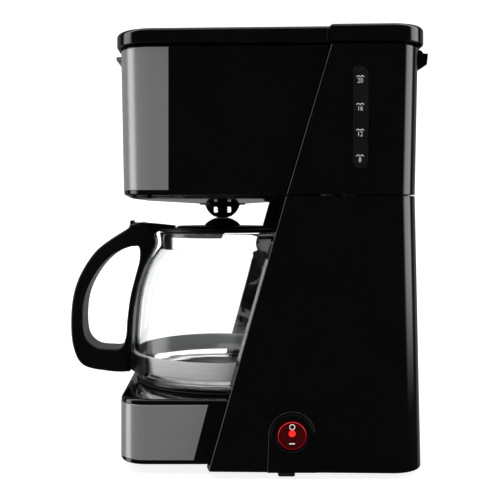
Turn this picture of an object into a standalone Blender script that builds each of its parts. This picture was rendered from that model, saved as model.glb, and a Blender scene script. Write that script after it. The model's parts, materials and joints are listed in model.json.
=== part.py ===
"""A drip coffee maker as an assembly of its real pieces, standing on z = 0.

Front is towards -Y, up is +Z and the switch and the level window are on the +X side.
Shapes are worked out in millimetres, with Y measured from the carafe's axis, and every solid is
parented to one empty that puts the middle of the whole object over the world's origin.
"""

import math

import bmesh
import bpy
from mathutils import Vector

# ---- Driving dimensions, in millimetres -----------------------------------------------------
MM = 0.001
FRAME_Y = -14.5  # the carafe's axis, from the middle of the object
GAP = 0.3  # running and fitting clearance
WALL = 2.4  # moulded wall

REAR_FOOT_HALF, REAR_SEAM_HALF, REAR_TOP_HALF = 86.0, 81.5, 83.0  # rear body half-widths
REAR_FOOT_Y, REAR_SEAM_Y, REAR_TOP_Y = 135.3, 132.5, 134.2  # rear face
REAR_RADIUS = 23.0
EDGE_FOOT = (-10.8, 4.8)  # slanted front edge of the side panels, (y, z)
EDGE_SEAM = (41.0, 187.3)
EDGE_TOP = (71.0, 288.0)
FOOT_FALL = 0.0085  # the lower edge falls this much for each millimetre towards the back
LIP_X = 76.7  # the panels turn inwards as far as this
EDGE_SLANT = 1.5  # their front face falls back this much from the lip to the outside

SEAM_Z = 187.3
HEAD_HALF, HEAD_RADIUS = 76.0, 23.0
HEAD_FRONT_TOP, HEAD_FRONT_FOOT = -70.5, -68.5
HEAD_REAR = 66.0
HEAD_TOP_Z = 288.0
OUTLET_R = 18.0  # hole in the head's floor
OUTLET_Z = 182.2

BASE_HALF, BASE_RADIUS, BASE_FRONT, BASE_REAR = 76.4, 18.0, -69.8, 129.5
BASE_FOOT_Z, DECK_Z = 6.8, 50.4
BASE_TRIM_Z = (9.8, 46.7)  # steel wraps, lower and upper edge
HEAD_TRIM_Z = (190.9, 287.0)

LID_FOOT_Z, LID_TOP_Z, LID_RISE = 289.3, 299.9, 0.0103  # its top rises towards the back
LID_FRONT_HALF, LID_REAR_HALF, LID_FRONT, LID_REAR = 79.0, 86.0, -73.5, 137.7
HINGE_Y, HINGE_Z, HINGE_PIN_R = 138.4, 282.8, 1.6
LUG_X = (44.0, 57.5)  # the housing's hinge lugs, inner and outer face

TRIM_PROUD, TRIM_THICK = 0.2, 0.7

TANK_FRONT, TANK_REAR, TANK_HALF = 84.0, 129.6, 78.4
TANK_FOOT_Z, TANK_TOP_Z = 190.6, 284.0
LINER_HALF, LINER_REAR, LINER_RADIUS = 76.3, 71.2, 24.0

PLATE_TOP_Z = 53.9
HOSE_X, HOSE_Y = 22.0, 77.5  # riser; the inlet hose hangs at -HOSE_X
VALVE_Y = 100.0
STOP_FOOT_Z = 171.7  # the drip stop's stem, shut
SWITCH_Y, SWITCH_Z, SWITCH_HOLE_R = 45.8, 29.1, 12.4
GLAND_X, GLAND_Z, GLAND_R, CORD_HOLE_R = 34.0, 24.0, 7.0, 4.4
ROCKER_X, ROCKER_TILT = 84.3, math.radians(7)
COVER_Z = (6.9, 8.9)  # bottom cover, underside and top
STEP_Y = -3.6  # where the cover widens from the base to the rear body
SCREW_SPOTS = {"front_left": (-62.0, -50.0), "front_right": (62.0, -50.0),
               "rear_left": (-62.0, 112.0), "rear_right": (62.0, 112.0)}
FOOT_SPOTS = {"front_left": (-46.0, -46.0), "front_right": (46.0, -46.0),
              "side_left": (-74.6, 42.7), "side_right": (74.6, 42.7),
              "rear_left": (-52.0, 102.0), "rear_right": (52.0, 102.0)}
SCREW_HOLE_R = 1.9

# Outer radius of the carafe's glass against height, from the foot up
GLASS = (
    (54.2, 57.0), (55.8, 61.6), (60.0, 65.0), (73.0, 66.5), (79.0, 66.9), (94.2, 66.1),
    (109.4, 64.6), (120.0, 62.6), (132.0, 58.6), (139.6, 54.8), (146.0, 50.4),
    (151.0, 47.0), (160.4, 47.8),
)
GLASS_WALL = 2.0
GLASS_SIDES = 36
LID_PIN_Y, LID_PIN_Z, LID_PIN_HOLE_R = -54.0, 161.0, 1.8

CORNER_STEPS = 6
ROUND = 28  # sides of a large round piece
SMALL_ROUND = 16

LOOKS = {  # colour, roughness, metallic, alpha
    "gloss_black": ((0.010, 0.010, 0.011), 0.12, 0.0, 1.0),
    "satin_black": ((0.014, 0.014, 0.015), 0.38, 0.0, 1.0),
    "steel": ((0.36, 0.36, 0.37), 0.34, 1.0, 1.0),
    "bright_steel": ((0.62, 0.62, 0.63), 0.22, 1.0, 1.0),
    "glass": ((0.93, 0.95, 0.95), 0.03, 0.0, 0.3),
    "smoked_clear": ((0.06, 0.06, 0.07), 0.08, 0.0, 0.75),
    "clear_plastic": ((0.75, 0.78, 0.80), 0.25, 0.0, 1.0),
    "white_plastic": ((0.78, 0.78, 0.76), 0.45, 0.0, 1.0),
    "silicone": ((0.80, 0.80, 0.78), 0.55, 0.0, 1.0),
    "black_rubber": ((0.02, 0.02, 0.02), 0.75, 0.0, 1.0),
    "aluminium": ((0.70, 0.70, 0.72), 0.35, 1.0, 1.0),
    "red_plastic": ((0.55, 0.01, 0.01), 0.25, 0.0, 1.0),
    "brown_wire": ((0.16, 0.05, 0.02), 0.5, 0.0, 1.0),
    "blue_wire": ((0.02, 0.07, 0.30), 0.5, 0.0, 1.0),
}


# ---- Making solids --------------------------------------------------------------------------
def clear_scene():
    for obj in list(bpy.data.objects):
        bpy.data.objects.remove(obj, do_unlink=True)


def frame_empty():
    empty = bpy.data.objects.new("coffee_maker", None)
    empty.location = (0.0, FRAME_Y * MM, 0.0)
    bpy.context.scene.collection.objects.link(empty)
    return empty


def make(name, shape, origin=(0.0, 0.0, 0.0)):
    """An object from (points, faces) in millimetres, with its origin where it turns or sits."""
    grid = bmesh.new()
    at = Vector(origin)
    vertices = [grid.verts.new((Vector(p) - at) * MM) for p in shape[0]]
    for face in shape[1]:
        grid.faces.new([vertices[i] for i in face])
    bmesh.ops.recalc_face_normals(grid, faces=grid.faces)
    mesh = bpy.data.meshes.new(name)
    grid.to_mesh(mesh)
    grid.free()
    obj = bpy.data.objects.new(name, mesh)
    obj.location = at * MM
    obj.parent = bpy.data.objects["coffee_maker"]
    bpy.context.scene.collection.objects.link(obj)
    return obj


def piece(name, shape, look, origin=(0.0, 0.0, 0.0)):
    """A node: a solid with its own material, shaded smooth with sharp edges kept."""
    obj = make(name, shape, origin)
    colour, roughness, metallic, alpha = LOOKS[look]
    material = bpy.data.materials.new(name)
    material.use_nodes = True
    shader = material.node_tree.nodes["Principled BSDF"]
    shader.inputs["Base Color"].default_value = (*colour, 1.0)
    shader.inputs["Roughness"].default_value = roughness
    shader.inputs["Metallic"].default_value = metallic
    shader.inputs["Alpha"].default_value = alpha
    obj.data.materials.append(material)
    obj.data.shade_smooth()
    obj.data.set_sharp_from_angle(angle=math.radians(32))
    return obj


def combine(target, shape, operation):
    helper = make(f"{target.name}_{operation.lower()}_{len(target.modifiers)}", shape)
    helper.hide_render = True
    helper.display_type = "WIRE"
    modifier = target.modifiers.new(helper.name, "BOOLEAN")
    modifier.operation = operation
    modifier.solver = "EXACT"
    modifier.object = helper


def cut(target, shape):
    combine(target, shape, "DIFFERENCE")


def add(target, shape):
    combine(target, shape, "UNION")


def loft(rings, closed=False):
    """A skin through rings of equal length, capped at both ends or closed on itself."""
    count = len(rings[0])
    points = [p for ring in rings for p in ring]
    faces = []
    for i in range(len(rings) if closed else len(rings) - 1):
        a, b = i * count, (i + 1) % len(rings) * count
        for j in range(count):
            k = (j + 1) % count
            faces.append((a + j, a + k, b + k, b + j))
    if not closed:
        faces.append(tuple(range(count)))
        faces.append(tuple(range(len(points) - count, len(points))))
    return points, faces


def turned(profile, sides=ROUND, x=0.0, y=0.0, closed=False):
    """A shape turned about an upright axis from (radius, z) points."""
    turns = [2 * math.pi * i / sides for i in range(sides)]
    rings = [[(x + r * math.cos(a), y + r * math.sin(a), z) for a in turns] for r, z in profile]
    return loft(rings, closed)


def swapped(shape, order):
    """The same shape with its axes renamed, such as (2, 0, 1) to lay an upright one along X."""
    return [tuple(p[i] for i in order) for p in shape[0]], shape[1]


def along_x(profile, y, z, sides=ROUND, closed=False):
    """A shape turned about an axis along X from (radius, x) points."""
    return swapped(turned(profile, sides, y, z, closed), (2, 0, 1))


def along_y(profile, x, z, sides=ROUND, closed=False):
    """A shape turned about an axis along Y from (radius, y) points."""
    return swapped(turned(profile, sides, x, z, closed), (0, 2, 1))


def block(low, high):
    corners = [(low[0], low[1]), (high[0], low[1]), (high[0], high[1]), (low[0], high[1])]
    return loft([level(corners, low[2]), level(corners, high[2])])


def slab(outline_yz, x0, x1):
    """A plate standing in the YZ plane, between two X positions."""
    return loft([[(x, y, z) for y, z in outline_yz] for x in (x0, x1)])


def arc(cx, cy, r, start, end, steps=CORNER_STEPS):
    """Points of an arc about (cx, cy) from one angle to another, in degrees."""
    turns = [math.radians(start + (end - start) * i / steps) for i in range(steps + 1)]
    return [(cx + r * math.cos(a), cy + r * math.sin(a)) for a in turns]


def plan(half, front, rear, front_r, rear_r, along=0):
    """A rounded rectangle seen from above, with extra points along its straight sides."""
    corners = [
        arc(half - front_r, front + front_r, front_r, -90, 0),
        arc(half - rear_r, rear - rear_r, rear_r, 0, 90),
        arc(rear_r - half, rear - rear_r, rear_r, 90, 180),
        arc(front_r - half, front + front_r, front_r, 180, 270),
    ]
    outline = []
    for this, following in zip(corners, corners[1:] + corners[:1]):
        (x0, y0), (x1, y1) = this[-1], following[0]
        shares = [i / (along + 1) for i in range(1, along + 1)]
        outline += this + [(x0 + (x1 - x0) * s, y0 + (y1 - y0) * s) for s in shares]
    return outline


def level(outline, z):
    return [(x, y, z) for x, y in outline]


def between(z, low, high, at_low, at_high):
    return at_low + (at_high - at_low) * (z - low) / (high - low)


def smooth_path(points, steps=6):
    """A smooth open curve through the points, as a list of vectors."""
    ends = [2 * Vector(points[0]) - Vector(points[1]), 2 * Vector(points[-1]) - Vector(points[-2])]
    knots = [ends[0]] + [Vector(p) for p in points] + [ends[1]]
    path = []
    for a, b, c, d in zip(knots, knots[1:], knots[2:], knots[3:]):
        for i in range(steps):
            t = i / steps
            bend = 2 * a - 5 * b + 4 * c - d
            twist = 3 * b - a - 3 * c + d
            path.append(0.5 * (2 * b + (c - a) * t + bend * t * t + twist * t ** 3))
    return path + [Vector(points[-1])]


def sweep(path, radius, sides=8, bore=None):
    """A round bar along a path, or a hose if it has a bore."""
    side = Vector((0.37, 0.51, 0.78)).cross(path[1] - path[0]).normalized()
    frames = []
    for i, point in enumerate(path):
        heading = path[min(i + 1, len(path) - 1)] - path[max(i - 1, 0)]
        side = (side - heading * side.dot(heading) / heading.length_squared).normalized()
        frames.append((point, side, heading.normalized().cross(side)))
    turns = [2 * math.pi * i / sides for i in range(sides)]

    def rings(r, order):
        return [[tuple(p + (u * math.cos(a) + v * math.sin(a)) * r) for a in turns] for p, u, v in order]

    if bore is None:
        return loft(rings(radius, frames))
    return loft(rings(radius, frames) + rings(bore, frames[::-1]), closed=True)


# ---- Sizes that follow from the driving dimensions ------------------------------------------
def rear_half(z):
    if z < SEAM_Z:
        return between(z, EDGE_FOOT[1], SEAM_Z, REAR_FOOT_HALF, REAR_SEAM_HALF)
    return between(z, SEAM_Z, EDGE_TOP[1], REAR_SEAM_HALF, REAR_TOP_HALF)


def rear_face(z):
    if z < SEAM_Z:
        return between(z, EDGE_FOOT[1], SEAM_Z, REAR_FOOT_Y, REAR_SEAM_Y)
    return between(z, SEAM_Z, EDGE_TOP[1], REAR_SEAM_Y, REAR_TOP_Y)


def panel_edge(z):
    """How far forward the side panels reach at this height."""
    if z < SEAM_Z:
        return between(z, EDGE_FOOT[1], SEAM_Z, EDGE_FOOT[0], EDGE_SEAM[0])
    return between(z, SEAM_Z, EDGE_TOP[1], EDGE_SEAM[0], EDGE_TOP[0])


def head_front(z):
    return between(z, SEAM_Z, HEAD_TOP_Z, HEAD_FRONT_FOOT, HEAD_FRONT_TOP)


def glass_radius(z):
    for (z0, r0), (z1, r1) in zip(GLASS, GLASS[1:]):
        if z <= z1:
            return between(z, z0, z1, r0, r1)
    return GLASS[-1][1]


# ---- Rear body ------------------------------------------------------------------------------
def rear_wrap(z):
    """Plan of the rear body at a height: two sides and a back, with lips along the front."""
    half, front, back = rear_half(z), panel_edge(z), rear_face(z)
    inner = half - WALL
    cx, cy = half - REAR_RADIUS, back - REAR_RADIUS
    lip_back = front + WALL + EDGE_SLANT / 2
    outline = [(LIP_X, lip_back), (LIP_X, front), (half, front + EDGE_SLANT)]
    outline += arc(cx, cy, REAR_RADIUS, 0, 90) + arc(-cx, cy, REAR_RADIUS, 90, 180)
    outline += [(-half, front + EDGE_SLANT), (-LIP_X, front), (-LIP_X, lip_back), (-inner, lip_back)]
    outline += arc(-cx, cy, REAR_RADIUS - WALL, 180, 90) + arc(cx, cy, REAR_RADIUS - WALL, 90, 0)
    outline += [(inner, lip_back)]
    return level(outline, z)


def lower_housing():
    foot = [(x, y, z - FOOT_FALL * (y - EDGE_FOOT[0])) for x, y, z in rear_wrap(EDGE_FOOT[1])]
    shell = piece("lower_housing", loft([foot, rear_wrap(SEAM_Z - GAP)]), "gloss_black")
    arch_r, foot_half, arch_foot, proud = 15.4, 16.4, 4.6, 0.8
    arch = arc(SWITCH_Y, SWITCH_Z, arch_r, 0, 180, 12)
    arch = [(SWITCH_Y + foot_half, arch_foot)] + arch + [(SWITCH_Y - foot_half, arch_foot)]
    inner = [(rear_half(z) - WALL / 2, y, z) for y, z in arch]
    outer = [(rear_half(z) + proud, y, z) for y, z in arch]
    add(shell, loft([inner, outer]))
    cut(shell, along_x([(SWITCH_HOLE_R, 78.0), (SWITCH_HOLE_R, 92.0)], SWITCH_Y, SWITCH_Z))
    cut(shell, gland_hole())


def gland_hole():
    """The hole through both rear walls that the cord gland snaps into."""
    r = GLAND_R + GAP
    return along_y([(r, 122.0), (r, 140.0)], GLAND_X, GLAND_Z, SMALL_ROUND)


def upper_housing():
    shell = piece(
        "upper_housing", loft([rear_wrap(SEAM_Z + GAP), rear_wrap(HEAD_TOP_Z)]), "gloss_black"
    )
    lug = [(132.6, 273.8), (134.8, 273.8), (142.0, 278.4), (142.7, 286.0), (139.3, 286.1)]
    lug += [(138.0, 288.0), (136.2, 288.5), (132.6, 288.4)]
    for side in (-1, 1):
        add(shell, slab(lug, side * LUG_X[0], side * LUG_X[1]))
        hole = along_x([(HINGE_PIN_R + GAP, side * 40.0), (HINGE_PIN_R + GAP, side * 55.8)],
                       HINGE_Y, HINGE_Z, SMALL_ROUND)
        cut(shell, hole)
    cut(shell, slab(window_outline(0.0), 74.0, 90.0))


def window_outline(inset):
    """The stadium slot of the level window, in (y, z)."""
    low, high, middle, r = 204.6, 273.6, 91.7, 5.7
    top = arc(middle, high - r, r - inset, 0, 180)
    return top + arc(middle, low + r, r - inset, 180, 360)


def level_window():
    outline = window_outline(GAP)
    rings = [[(rear_half(z) - depth, y, z) for y, z in outline] for depth in (2.3, 0.5)]
    piece("level_window", loft(rings), "smoked_clear")


def hinge_pins():
    for side, name in ((-1, "left"), (1, "right")):
        x0, x1 = side * 31.5, side * 55.5
        pin = along_x([(HINGE_PIN_R, x0), (HINGE_PIN_R, x1)], HINGE_Y, HINGE_Z, 12)
        piece(f"lid_hinge_pin_{name}", pin, "bright_steel", (x0, HINGE_Y, HINGE_Z))


def bay_liner():
    """The walls of the bay behind and beside the carafe."""

    def ring(z):
        front, inner = panel_edge(z) + 0.8, LINER_HALF - 2.0
        cx, cy = LINER_HALF - LINER_RADIUS, LINER_REAR - LINER_RADIUS
        outline = [(inner, front), (LINER_HALF, front)]
        outline += arc(cx, cy, LINER_RADIUS, 0, 90) + arc(-cx, cy, LINER_RADIUS, 90, 180)
        outline += [(-LINER_HALF, front), (-inner, front)]
        outline += arc(-cx, cy, LINER_RADIUS - 2, 180, 90) + arc(cx, cy, LINER_RADIUS - 2, 90, 0)
        return level(outline, z)

    piece("bay_liner", loft([ring(DECK_Z + 0.5), ring(184.9)]), "satin_black")


# ---- Base -----------------------------------------------------------------------------------
def base_plan(inset):
    return plan(BASE_HALF - inset, BASE_FRONT + inset, BASE_REAR - inset, BASE_RADIUS - inset, 14.0 - inset)


def base_housing():
    rings = [level(base_plan(WALL), DECK_Z - WALL), level(base_plan(WALL), BASE_FOOT_Z)]
    rings += [level(base_plan(0.8), BASE_FOOT_Z), level(base_plan(0.0), BASE_FOOT_Z + 1.0)]
    rings += [level(base_plan(0.0), DECK_Z - 2.2), level(base_plan(0.7), DECK_Z - 0.7)]
    rings += [level(base_plan(2.2), DECK_Z)]
    base = piece("base_housing", loft(rings), "gloss_black")
    for x, y in SCREW_SPOTS.values():
        add(base, turned([(4.4, COVER_Z[1] + 0.4), (4.4, DECK_Z - 1.0)], 12, x, y))
        cut(base, turned([(SCREW_HOLE_R, 4.0), (SCREW_HOLE_R, 23.0)], 12, x, y))
    cut(base, block((-90.0, STEP_Y, 0.0), (90.0, 140.0, COVER_Z[1] + 0.4)))
    cut(base, turned([(59.0, 40.0), (59.0, 60.0)], 32))
    cut(base, block((-32.0, 70.0, 44.0), (32.0, 110.0, 60.0)))
    cut(base, block((70.0, 33.0, 15.0), (80.0, 58.6, 43.4)))
    cut(base, gland_hole())
    cut(base, trim_cutter(base_trim_plan, BASE_TRIM_Z))


def bottom_cover():
    inset = WALL + 0.4
    half, rear_r = REAR_FOOT_HALF - inset - 0.2, REAR_RADIUS - inset
    front_half, front, front_r = BASE_HALF - inset, BASE_FRONT + inset, BASE_RADIUS - inset
    rear, step_y = REAR_FOOT_Y - inset - 0.2, STEP_Y + 0.5
    outline = arc(front_half - front_r, front + front_r, front_r, -90, 0)
    outline += [(front_half, step_y), (half, step_y)]
    outline += arc(half - rear_r, rear - rear_r, rear_r, 0, 90)
    outline += arc(rear_r - half, rear - rear_r, rear_r, 90, 180)
    outline += [(-half, step_y), (-front_half, step_y)]
    outline += arc(front_r - front_half, front + front_r, front_r, 180, 270)
    cover = piece("bottom_cover", loft([level(outline, z) for z in COVER_Z]), "satin_black")
    for x, y in SCREW_SPOTS.values():
        cut(cover, turned([(SCREW_HOLE_R, 3.0), (SCREW_HOLE_R, 12.0)], 12, x, y))
    for i in range(5):
        y = 10.0 + 9.0 * i
        cut(cover, block((-24.0, y, 3.0), (24.0, y + 3.5, 12.0)))


def screws():
    for name, (x, y) in SCREW_SPOTS.items():
        under = COVER_Z[0] - GAP
        profile = [(3.0, under - 1.8), (3.5, under - 1.0), (3.5, under), (1.5, under), (1.5, under + 14.0)]
        piece(f"base_screw_{name}", turned(profile, 12, x, y), "bright_steel", (x, y, under))


def feet():
    for name, (x, y) in FOOT_SPOTS.items():
        rings = []
        for half, z in ((5.3, 0.0), (5.6, 0.4), (5.6, COVER_Z[0] - GAP)):
            rings.append([(x + u, y + v, z) for u, v in plan(half, -half, half, 1.2, 1.2)])
        piece(f"foot_{name}", loft(rings), "black_rubber", (x, y, 0.0))


# ---- Steel wraps round the front ------------------------------------------------------------
def base_trim_plan(z):
    """Half-width, front, corner radius and where the wrap ends, at a height."""
    return BASE_HALF, BASE_FRONT, BASE_RADIUS, between(z, *BASE_TRIM_Z, -19.4, -9.7)


def head_trim_plan(z):
    return HEAD_HALF, head_front(z), HEAD_RADIUS, -36.3


def wrap_ring(outline, z, outside, inside, longer=0.0):
    """A strip round the front of a plan, from one offset of it to another."""
    half, front, r, end = outline(z)
    end += longer

    def path(offset):
        right = arc(half - r, front + r, r + offset, 0, -90)
        left = arc(r - half, front + r, r + offset, 270, 180)
        return [(half + offset, end)] + right + left + [(-half - offset, end)]

    return level(path(outside) + path(inside)[::-1], z)


def trim_shape(outline, span):
    return loft([wrap_ring(outline, z, TRIM_PROUD, TRIM_PROUD - TRIM_THICK) for z in span])


def trim_cutter(outline, span):
    depth = TRIM_PROUD - TRIM_THICK - GAP
    return loft([wrap_ring(outline, z, 6.0, depth, GAP) for z in (span[0] - GAP, span[1] + GAP)])


def trims():
    piece("base_trim", trim_shape(base_trim_plan, BASE_TRIM_Z), "steel")
    trim = piece("brew_head_trim", trim_shape(head_trim_plan, HEAD_TRIM_Z), "steel")
    face = HEAD_FRONT_TOP
    nub = [(face, 286.8), (face - 4.8, 286.8), (face - 5.5, 285.6), (face - 4.2, 282.8), (face, 280.4)]
    add(trim, slab(nub, -40.0, 40.0))


# ---- Brew head ------------------------------------------------------------------------------
def head_ring(z, inset, along=5):
    outline = plan(HEAD_HALF - inset, head_front(z) + inset, HEAD_REAR - inset,
                   HEAD_RADIUS - inset, 8.0 - inset, along)
    return level(outline, z)


def outlet_ring(z, r):
    """A circle with a point at the bearing of each point of the head's plan."""
    bearings = [math.atan2(y, x) for x, y, _ in head_ring(z, 0.0)]
    return [(r * math.cos(a), r * math.sin(a), z) for a in bearings]


def brew_head_housing():
    rings = [outlet_ring(OUTLET_Z, OUTLET_R), head_ring(185.0, 7.6), head_ring(185.6, 4.6)]
    rings += [head_ring(187.0, 2.5), head_ring(188.6, 0.0)]
    rings += [head_ring(HEAD_TOP_Z, 0.0), head_ring(HEAD_TOP_Z, WALL), head_ring(190.8, WALL)]
    rings += [outlet_ring(OUTLET_Z + WALL, OUTLET_R)]
    head = piece("brew_head_housing", loft(rings, closed=True), "gloss_black")
    cut(head, trim_cutter(head_trim_plan, HEAD_TRIM_Z))
    for side in (-1, 1):  # cheeks that run back behind the slanted panel edges
        low, high = sorted((side * (HEAD_HALF - 2.2), side * HEAD_HALF))
        add(head, block((low, 52.0, 222.0), (high, 77.0, HEAD_TOP_Z)))
    cut(head, block((HOSE_X - 13.0, 60.0, 266.0), (HOSE_X + 6.0, 70.0, 292.0)))


def filter_basket():
    profile = [(6.0, 185.7), (17.4, 185.7), (45.0, 189.6), (49.0, 196.0), (60.0, 261.0), (63.0, 261.6)]
    profile += [(63.0, 263.6), (58.2, 263.6), (47.2, 197.0), (43.4, 191.6), (20.0, 188.3), (6.0, 187.9)]
    piece("filter_basket", turned(profile, closed=True), "satin_black", (0.0, 0.0, 185.7))


def water_spreader():
    """The shower pan over the basket and the channel that feeds it."""
    arm_z = (269.5, 276.5)
    pan = [(20.0, 272.0), (22.0, 267.5), (24.0, 267.5), (24.0, 276.5), (0.6, 276.5), (0.6, 272.0)]
    spreader = piece("water_spreader", turned(pan[::-1], 24), "satin_black")
    ends = [Vector((3.0, 16.0)), Vector((HOSE_X, HOSE_Y))]
    side = (ends[1] - ends[0]).orthogonal().normalized() * 5.5
    corners = [ends[0] + side, ends[0] - side, ends[1] - side, ends[1] + side]
    add(spreader, loft([level(corners, z) for z in arm_z]))
    add(spreader, turned([(3.5, 255.0), (3.5, 271.0)], 12, HOSE_X, HOSE_Y))


# ---- Drip stop, hung in the basket's outlet -------------------------------------------------
def drip_stop_cage():
    """A domed cage with a flange and a bridge that holds the spring's upper end."""
    outer = [(17.4, 183.4), (17.4, 181.5), (13.4, 181.3), (12.9, 180.4), (11.8, 177.8), (10.1, 175.6)]
    outer += [(8.5, 174.1), (6.4, 172.4)]
    inner = [(5.2, 172.3), (5.2, 173.4), (8.4, 175.8), (10.4, 178.6), (11.4, 183.4)]
    cage = piece("drip_stop_cage", turned(outer + inner, 28, closed=True), "satin_black", (0.0, 0.0, 182.0))
    for near, far in ((3.5, 6.6), (-6.6, -3.5)):  # two pairs of windows, crossing each other
        cut(cage, block((-16.0, near, 175.5), (16.0, far, 179.9)))
        cut(cage, block((near, -16.0, 175.5), (far, 16.0, 179.9)))
    bridge = [(11.8, -1.3), (11.8, 1.3), (-11.8, 1.3), (-11.8, -1.3)]
    add(cage, loft([level(bridge, 182.4), level(bridge, 185.2)]))
    add(cage, turned([(5.4, 183.6), (5.4, 185.2)], SMALL_ROUND))
    cut(cage, turned([(2.6, 181.0), (2.6, 187.0)], SMALL_ROUND))


def drip_stop_plunger():
    foot = STOP_FOOT_Z
    profile = [(0.6, foot), (4.4, foot), (4.5, foot + 0.2), (4.6, foot + 1.2), (4.6, foot + 3.8)]
    profile += [(2.1, foot + 3.8), (2.1, 190.6), (4.6, 190.8), (4.6, 192.0), (0.6, 192.4)]
    piece("drip_stop_plunger", turned(profile, SMALL_ROUND), "satin_black", (0.0, 0.0, foot))


def drip_stop_seal():
    profile = [(2.5, 188.8), (8.6, 188.8), (8.8, 189.6), (8.2, 190.4), (2.5, 190.4)]
    piece("drip_stop_seal", turned(profile, SMALL_ROUND, closed=True), "silicone", (0.0, 0.0, 188.8))


def drip_stop_spring():
    low, high, coil_r, wire_r, turns, steps = STOP_FOOT_Z + 4.7, 181.6, 3.9, 0.45, 3.0, 14
    count = int(turns * steps)
    path = []
    for i in range(count + 1):
        a = 2 * math.pi * i / steps
        path.append(Vector((coil_r * math.cos(a), coil_r * math.sin(a), low + (high - low) * i / count)))
    piece("drip_stop_spring", sweep(path, wire_r, 6), "bright_steel", (0.0, 0.0, high))


# ---- Lid ------------------------------------------------------------------------------------
def lid_plan(inset):
    front_half, half, step_y = LID_FRONT_HALF - inset, LID_REAR_HALF - inset, 70.0 + inset
    front_r, rear_r = 26.0 - inset, 25.0 - inset
    front, rear = LID_FRONT + inset, LID_REAR - inset
    step = [(front_half, step_y), (front_half + 0.5, step_y + 0.3), (half - 0.8, step_y + 0.9),
            (half, step_y + 1.6)]
    right = arc(front_half - front_r, front + front_r, front_r, -90, 0) + step
    right += arc(half - rear_r, rear - rear_r, rear_r, 0, 90)
    return right + [(-x, y) for x, y in right[::-1]]


def top_lid():
    def ring(inset, down):
        """A ring below the lid's sloping top."""
        return [(x, y, LID_TOP_Z - down + LID_RISE * y) for x, y in lid_plan(inset)]

    rings = [ring(3.0, 2.4), level(lid_plan(2.6), LID_FOOT_Z), level(lid_plan(0.6), LID_FOOT_Z)]
    rings += [level(lid_plan(0.0), LID_FOOT_Z + 0.8), ring(0.0, 2.8), ring(0.8, 1.0), ring(3.0, 0.0)]
    shape = loft(rings)
    lid = piece("top_lid", shape, "gloss_black", (0.0, HINGE_Y, HINGE_Z))
    knuckle = [(134.6, 291.4), (137.0, 291.4), (140.6, 287.0)]
    knuckle += arc(HINGE_Y, HINGE_Z, 3.8, 40, -180, 10)
    for side in (-1, 1):
        add(lid, slab(knuckle, side * 31.0, side * (LUG_X[0] - 0.6)))
        cut(lid, along_x([(HINGE_PIN_R + GAP, side * 28.0), (HINGE_PIN_R + GAP, side * 46.0)],
                         HINGE_Y, HINGE_Z, SMALL_ROUND))


def lid_liner():
    rings = [level(lid_plan(3.1), 290.4), level(lid_plan(3.1), 292.0)]
    piece("lid_liner", loft(rings), "satin_black", (0.0, HINGE_Y, HINGE_Z))


# ---- Water way ------------------------------------------------------------------------------
def water_tank():
    def ring(z, inset):
        return level(plan(TANK_HALF - inset, TANK_FRONT + inset, TANK_REAR - inset,
                          6.0 - inset, 19.0 - inset), z)

    rings = [ring(TANK_FOOT_Z, 0.0), ring(TANK_TOP_Z, 0.0), ring(TANK_TOP_Z, 2.0)]
    rings += [ring(TANK_FOOT_Z + 2.0, 2.0)]
    tank = piece("water_tank", loft(rings), "clear_plastic", (0.0, TANK_FRONT, TANK_FOOT_Z))
    add(tank, turned([(4.8, 179.2), (4.8, TANK_FOOT_Z + 1.0)], SMALL_ROUND, -HOSE_X, VALVE_Y))
    cut(tank, turned([(3.0, 177.0), (3.0, TANK_FOOT_Z + 4.0)], 12, -HOSE_X, VALVE_Y))


def check_valve():
    profile = [(3.3, 150.0), (3.3, 160.0), (7.0, 161.0), (7.0, 186.0), (5.2, 186.0), (5.2, 178.6)]
    profile += [(2.1, 178.6), (2.1, 173.4), (4.2, 173.0), (4.2, 164.2), (2.1, 164.0), (2.1, 150.0)]
    piece("check_valve_body", turned(profile, SMALL_ROUND, -HOSE_X, VALVE_Y, closed=True),
          "white_plastic", (-HOSE_X, VALVE_Y, 164.0))
    centre, r = 166.5, 3.0
    turns = [math.pi * i / 8 for i in range(9)]
    ball = [(max(r * math.sin(a), 0.15), centre - r * math.cos(a)) for a in turns]
    piece("check_valve_ball", turned(ball, 12, -HOSE_X, VALVE_Y), "bright_steel",
          (-HOSE_X, VALVE_Y, centre))


def heater():
    """The water tube and the heating rod beside it, bent round under the warming plate."""
    for name, r, bend, leg_x, end_y, look in (("heater_tube", 3.3, 38.0, HOSE_X, 66.0, "aluminium"),
                                              ("heating_element", 3.2, 30.5, 13.5, 50.0, "steel")):
        z = 52.0 - GAP - r
        leg = [(leg_x, end_y, 36.0), (leg_x, end_y - 9.0, 36.4), (leg_x, end_y - 20.0, z - 3.0)]
        turns = [math.radians(30 - 240 * i / 8) for i in range(9)]
        loop = [(bend * math.cos(a), bend * math.sin(a), z) for a in turns]
        points = leg + loop + [(-x, y, level_z) for x, y, level_z in leg[::-1]]
        bore = 2.3 if name == "heater_tube" else None
        piece(name, sweep(smooth_path(points, 2), r, 8, bore), look)


def hoses():
    riser = [(HOSE_X, 60.5, 36.2), (HOSE_X, 66.0, 36.0), (HOSE_X, 74.5, 41.0), (HOSE_X, HOSE_Y, 52.0),
             (HOSE_X, HOSE_Y, 120.0), (HOSE_X, HOSE_Y, 200.0), (HOSE_X, HOSE_Y, 268.0)]
    piece("riser_tube", sweep(smooth_path(riser, 3), 5.1, 8, 3.9), "silicone")
    inlet = [(-HOSE_X, 60.5, 36.2), (-HOSE_X, 68.0, 36.0), (-HOSE_X, 86.0, 40.0),
             (-HOSE_X, 97.0, 54.0), (-HOSE_X, VALVE_Y, 76.0), (-HOSE_X, VALVE_Y, 120.0),
             (-HOSE_X, VALVE_Y, 159.0)]
    piece("inlet_hose", sweep(smooth_path(inlet, 3), 5.1, 8, 3.9), "silicone")


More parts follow.
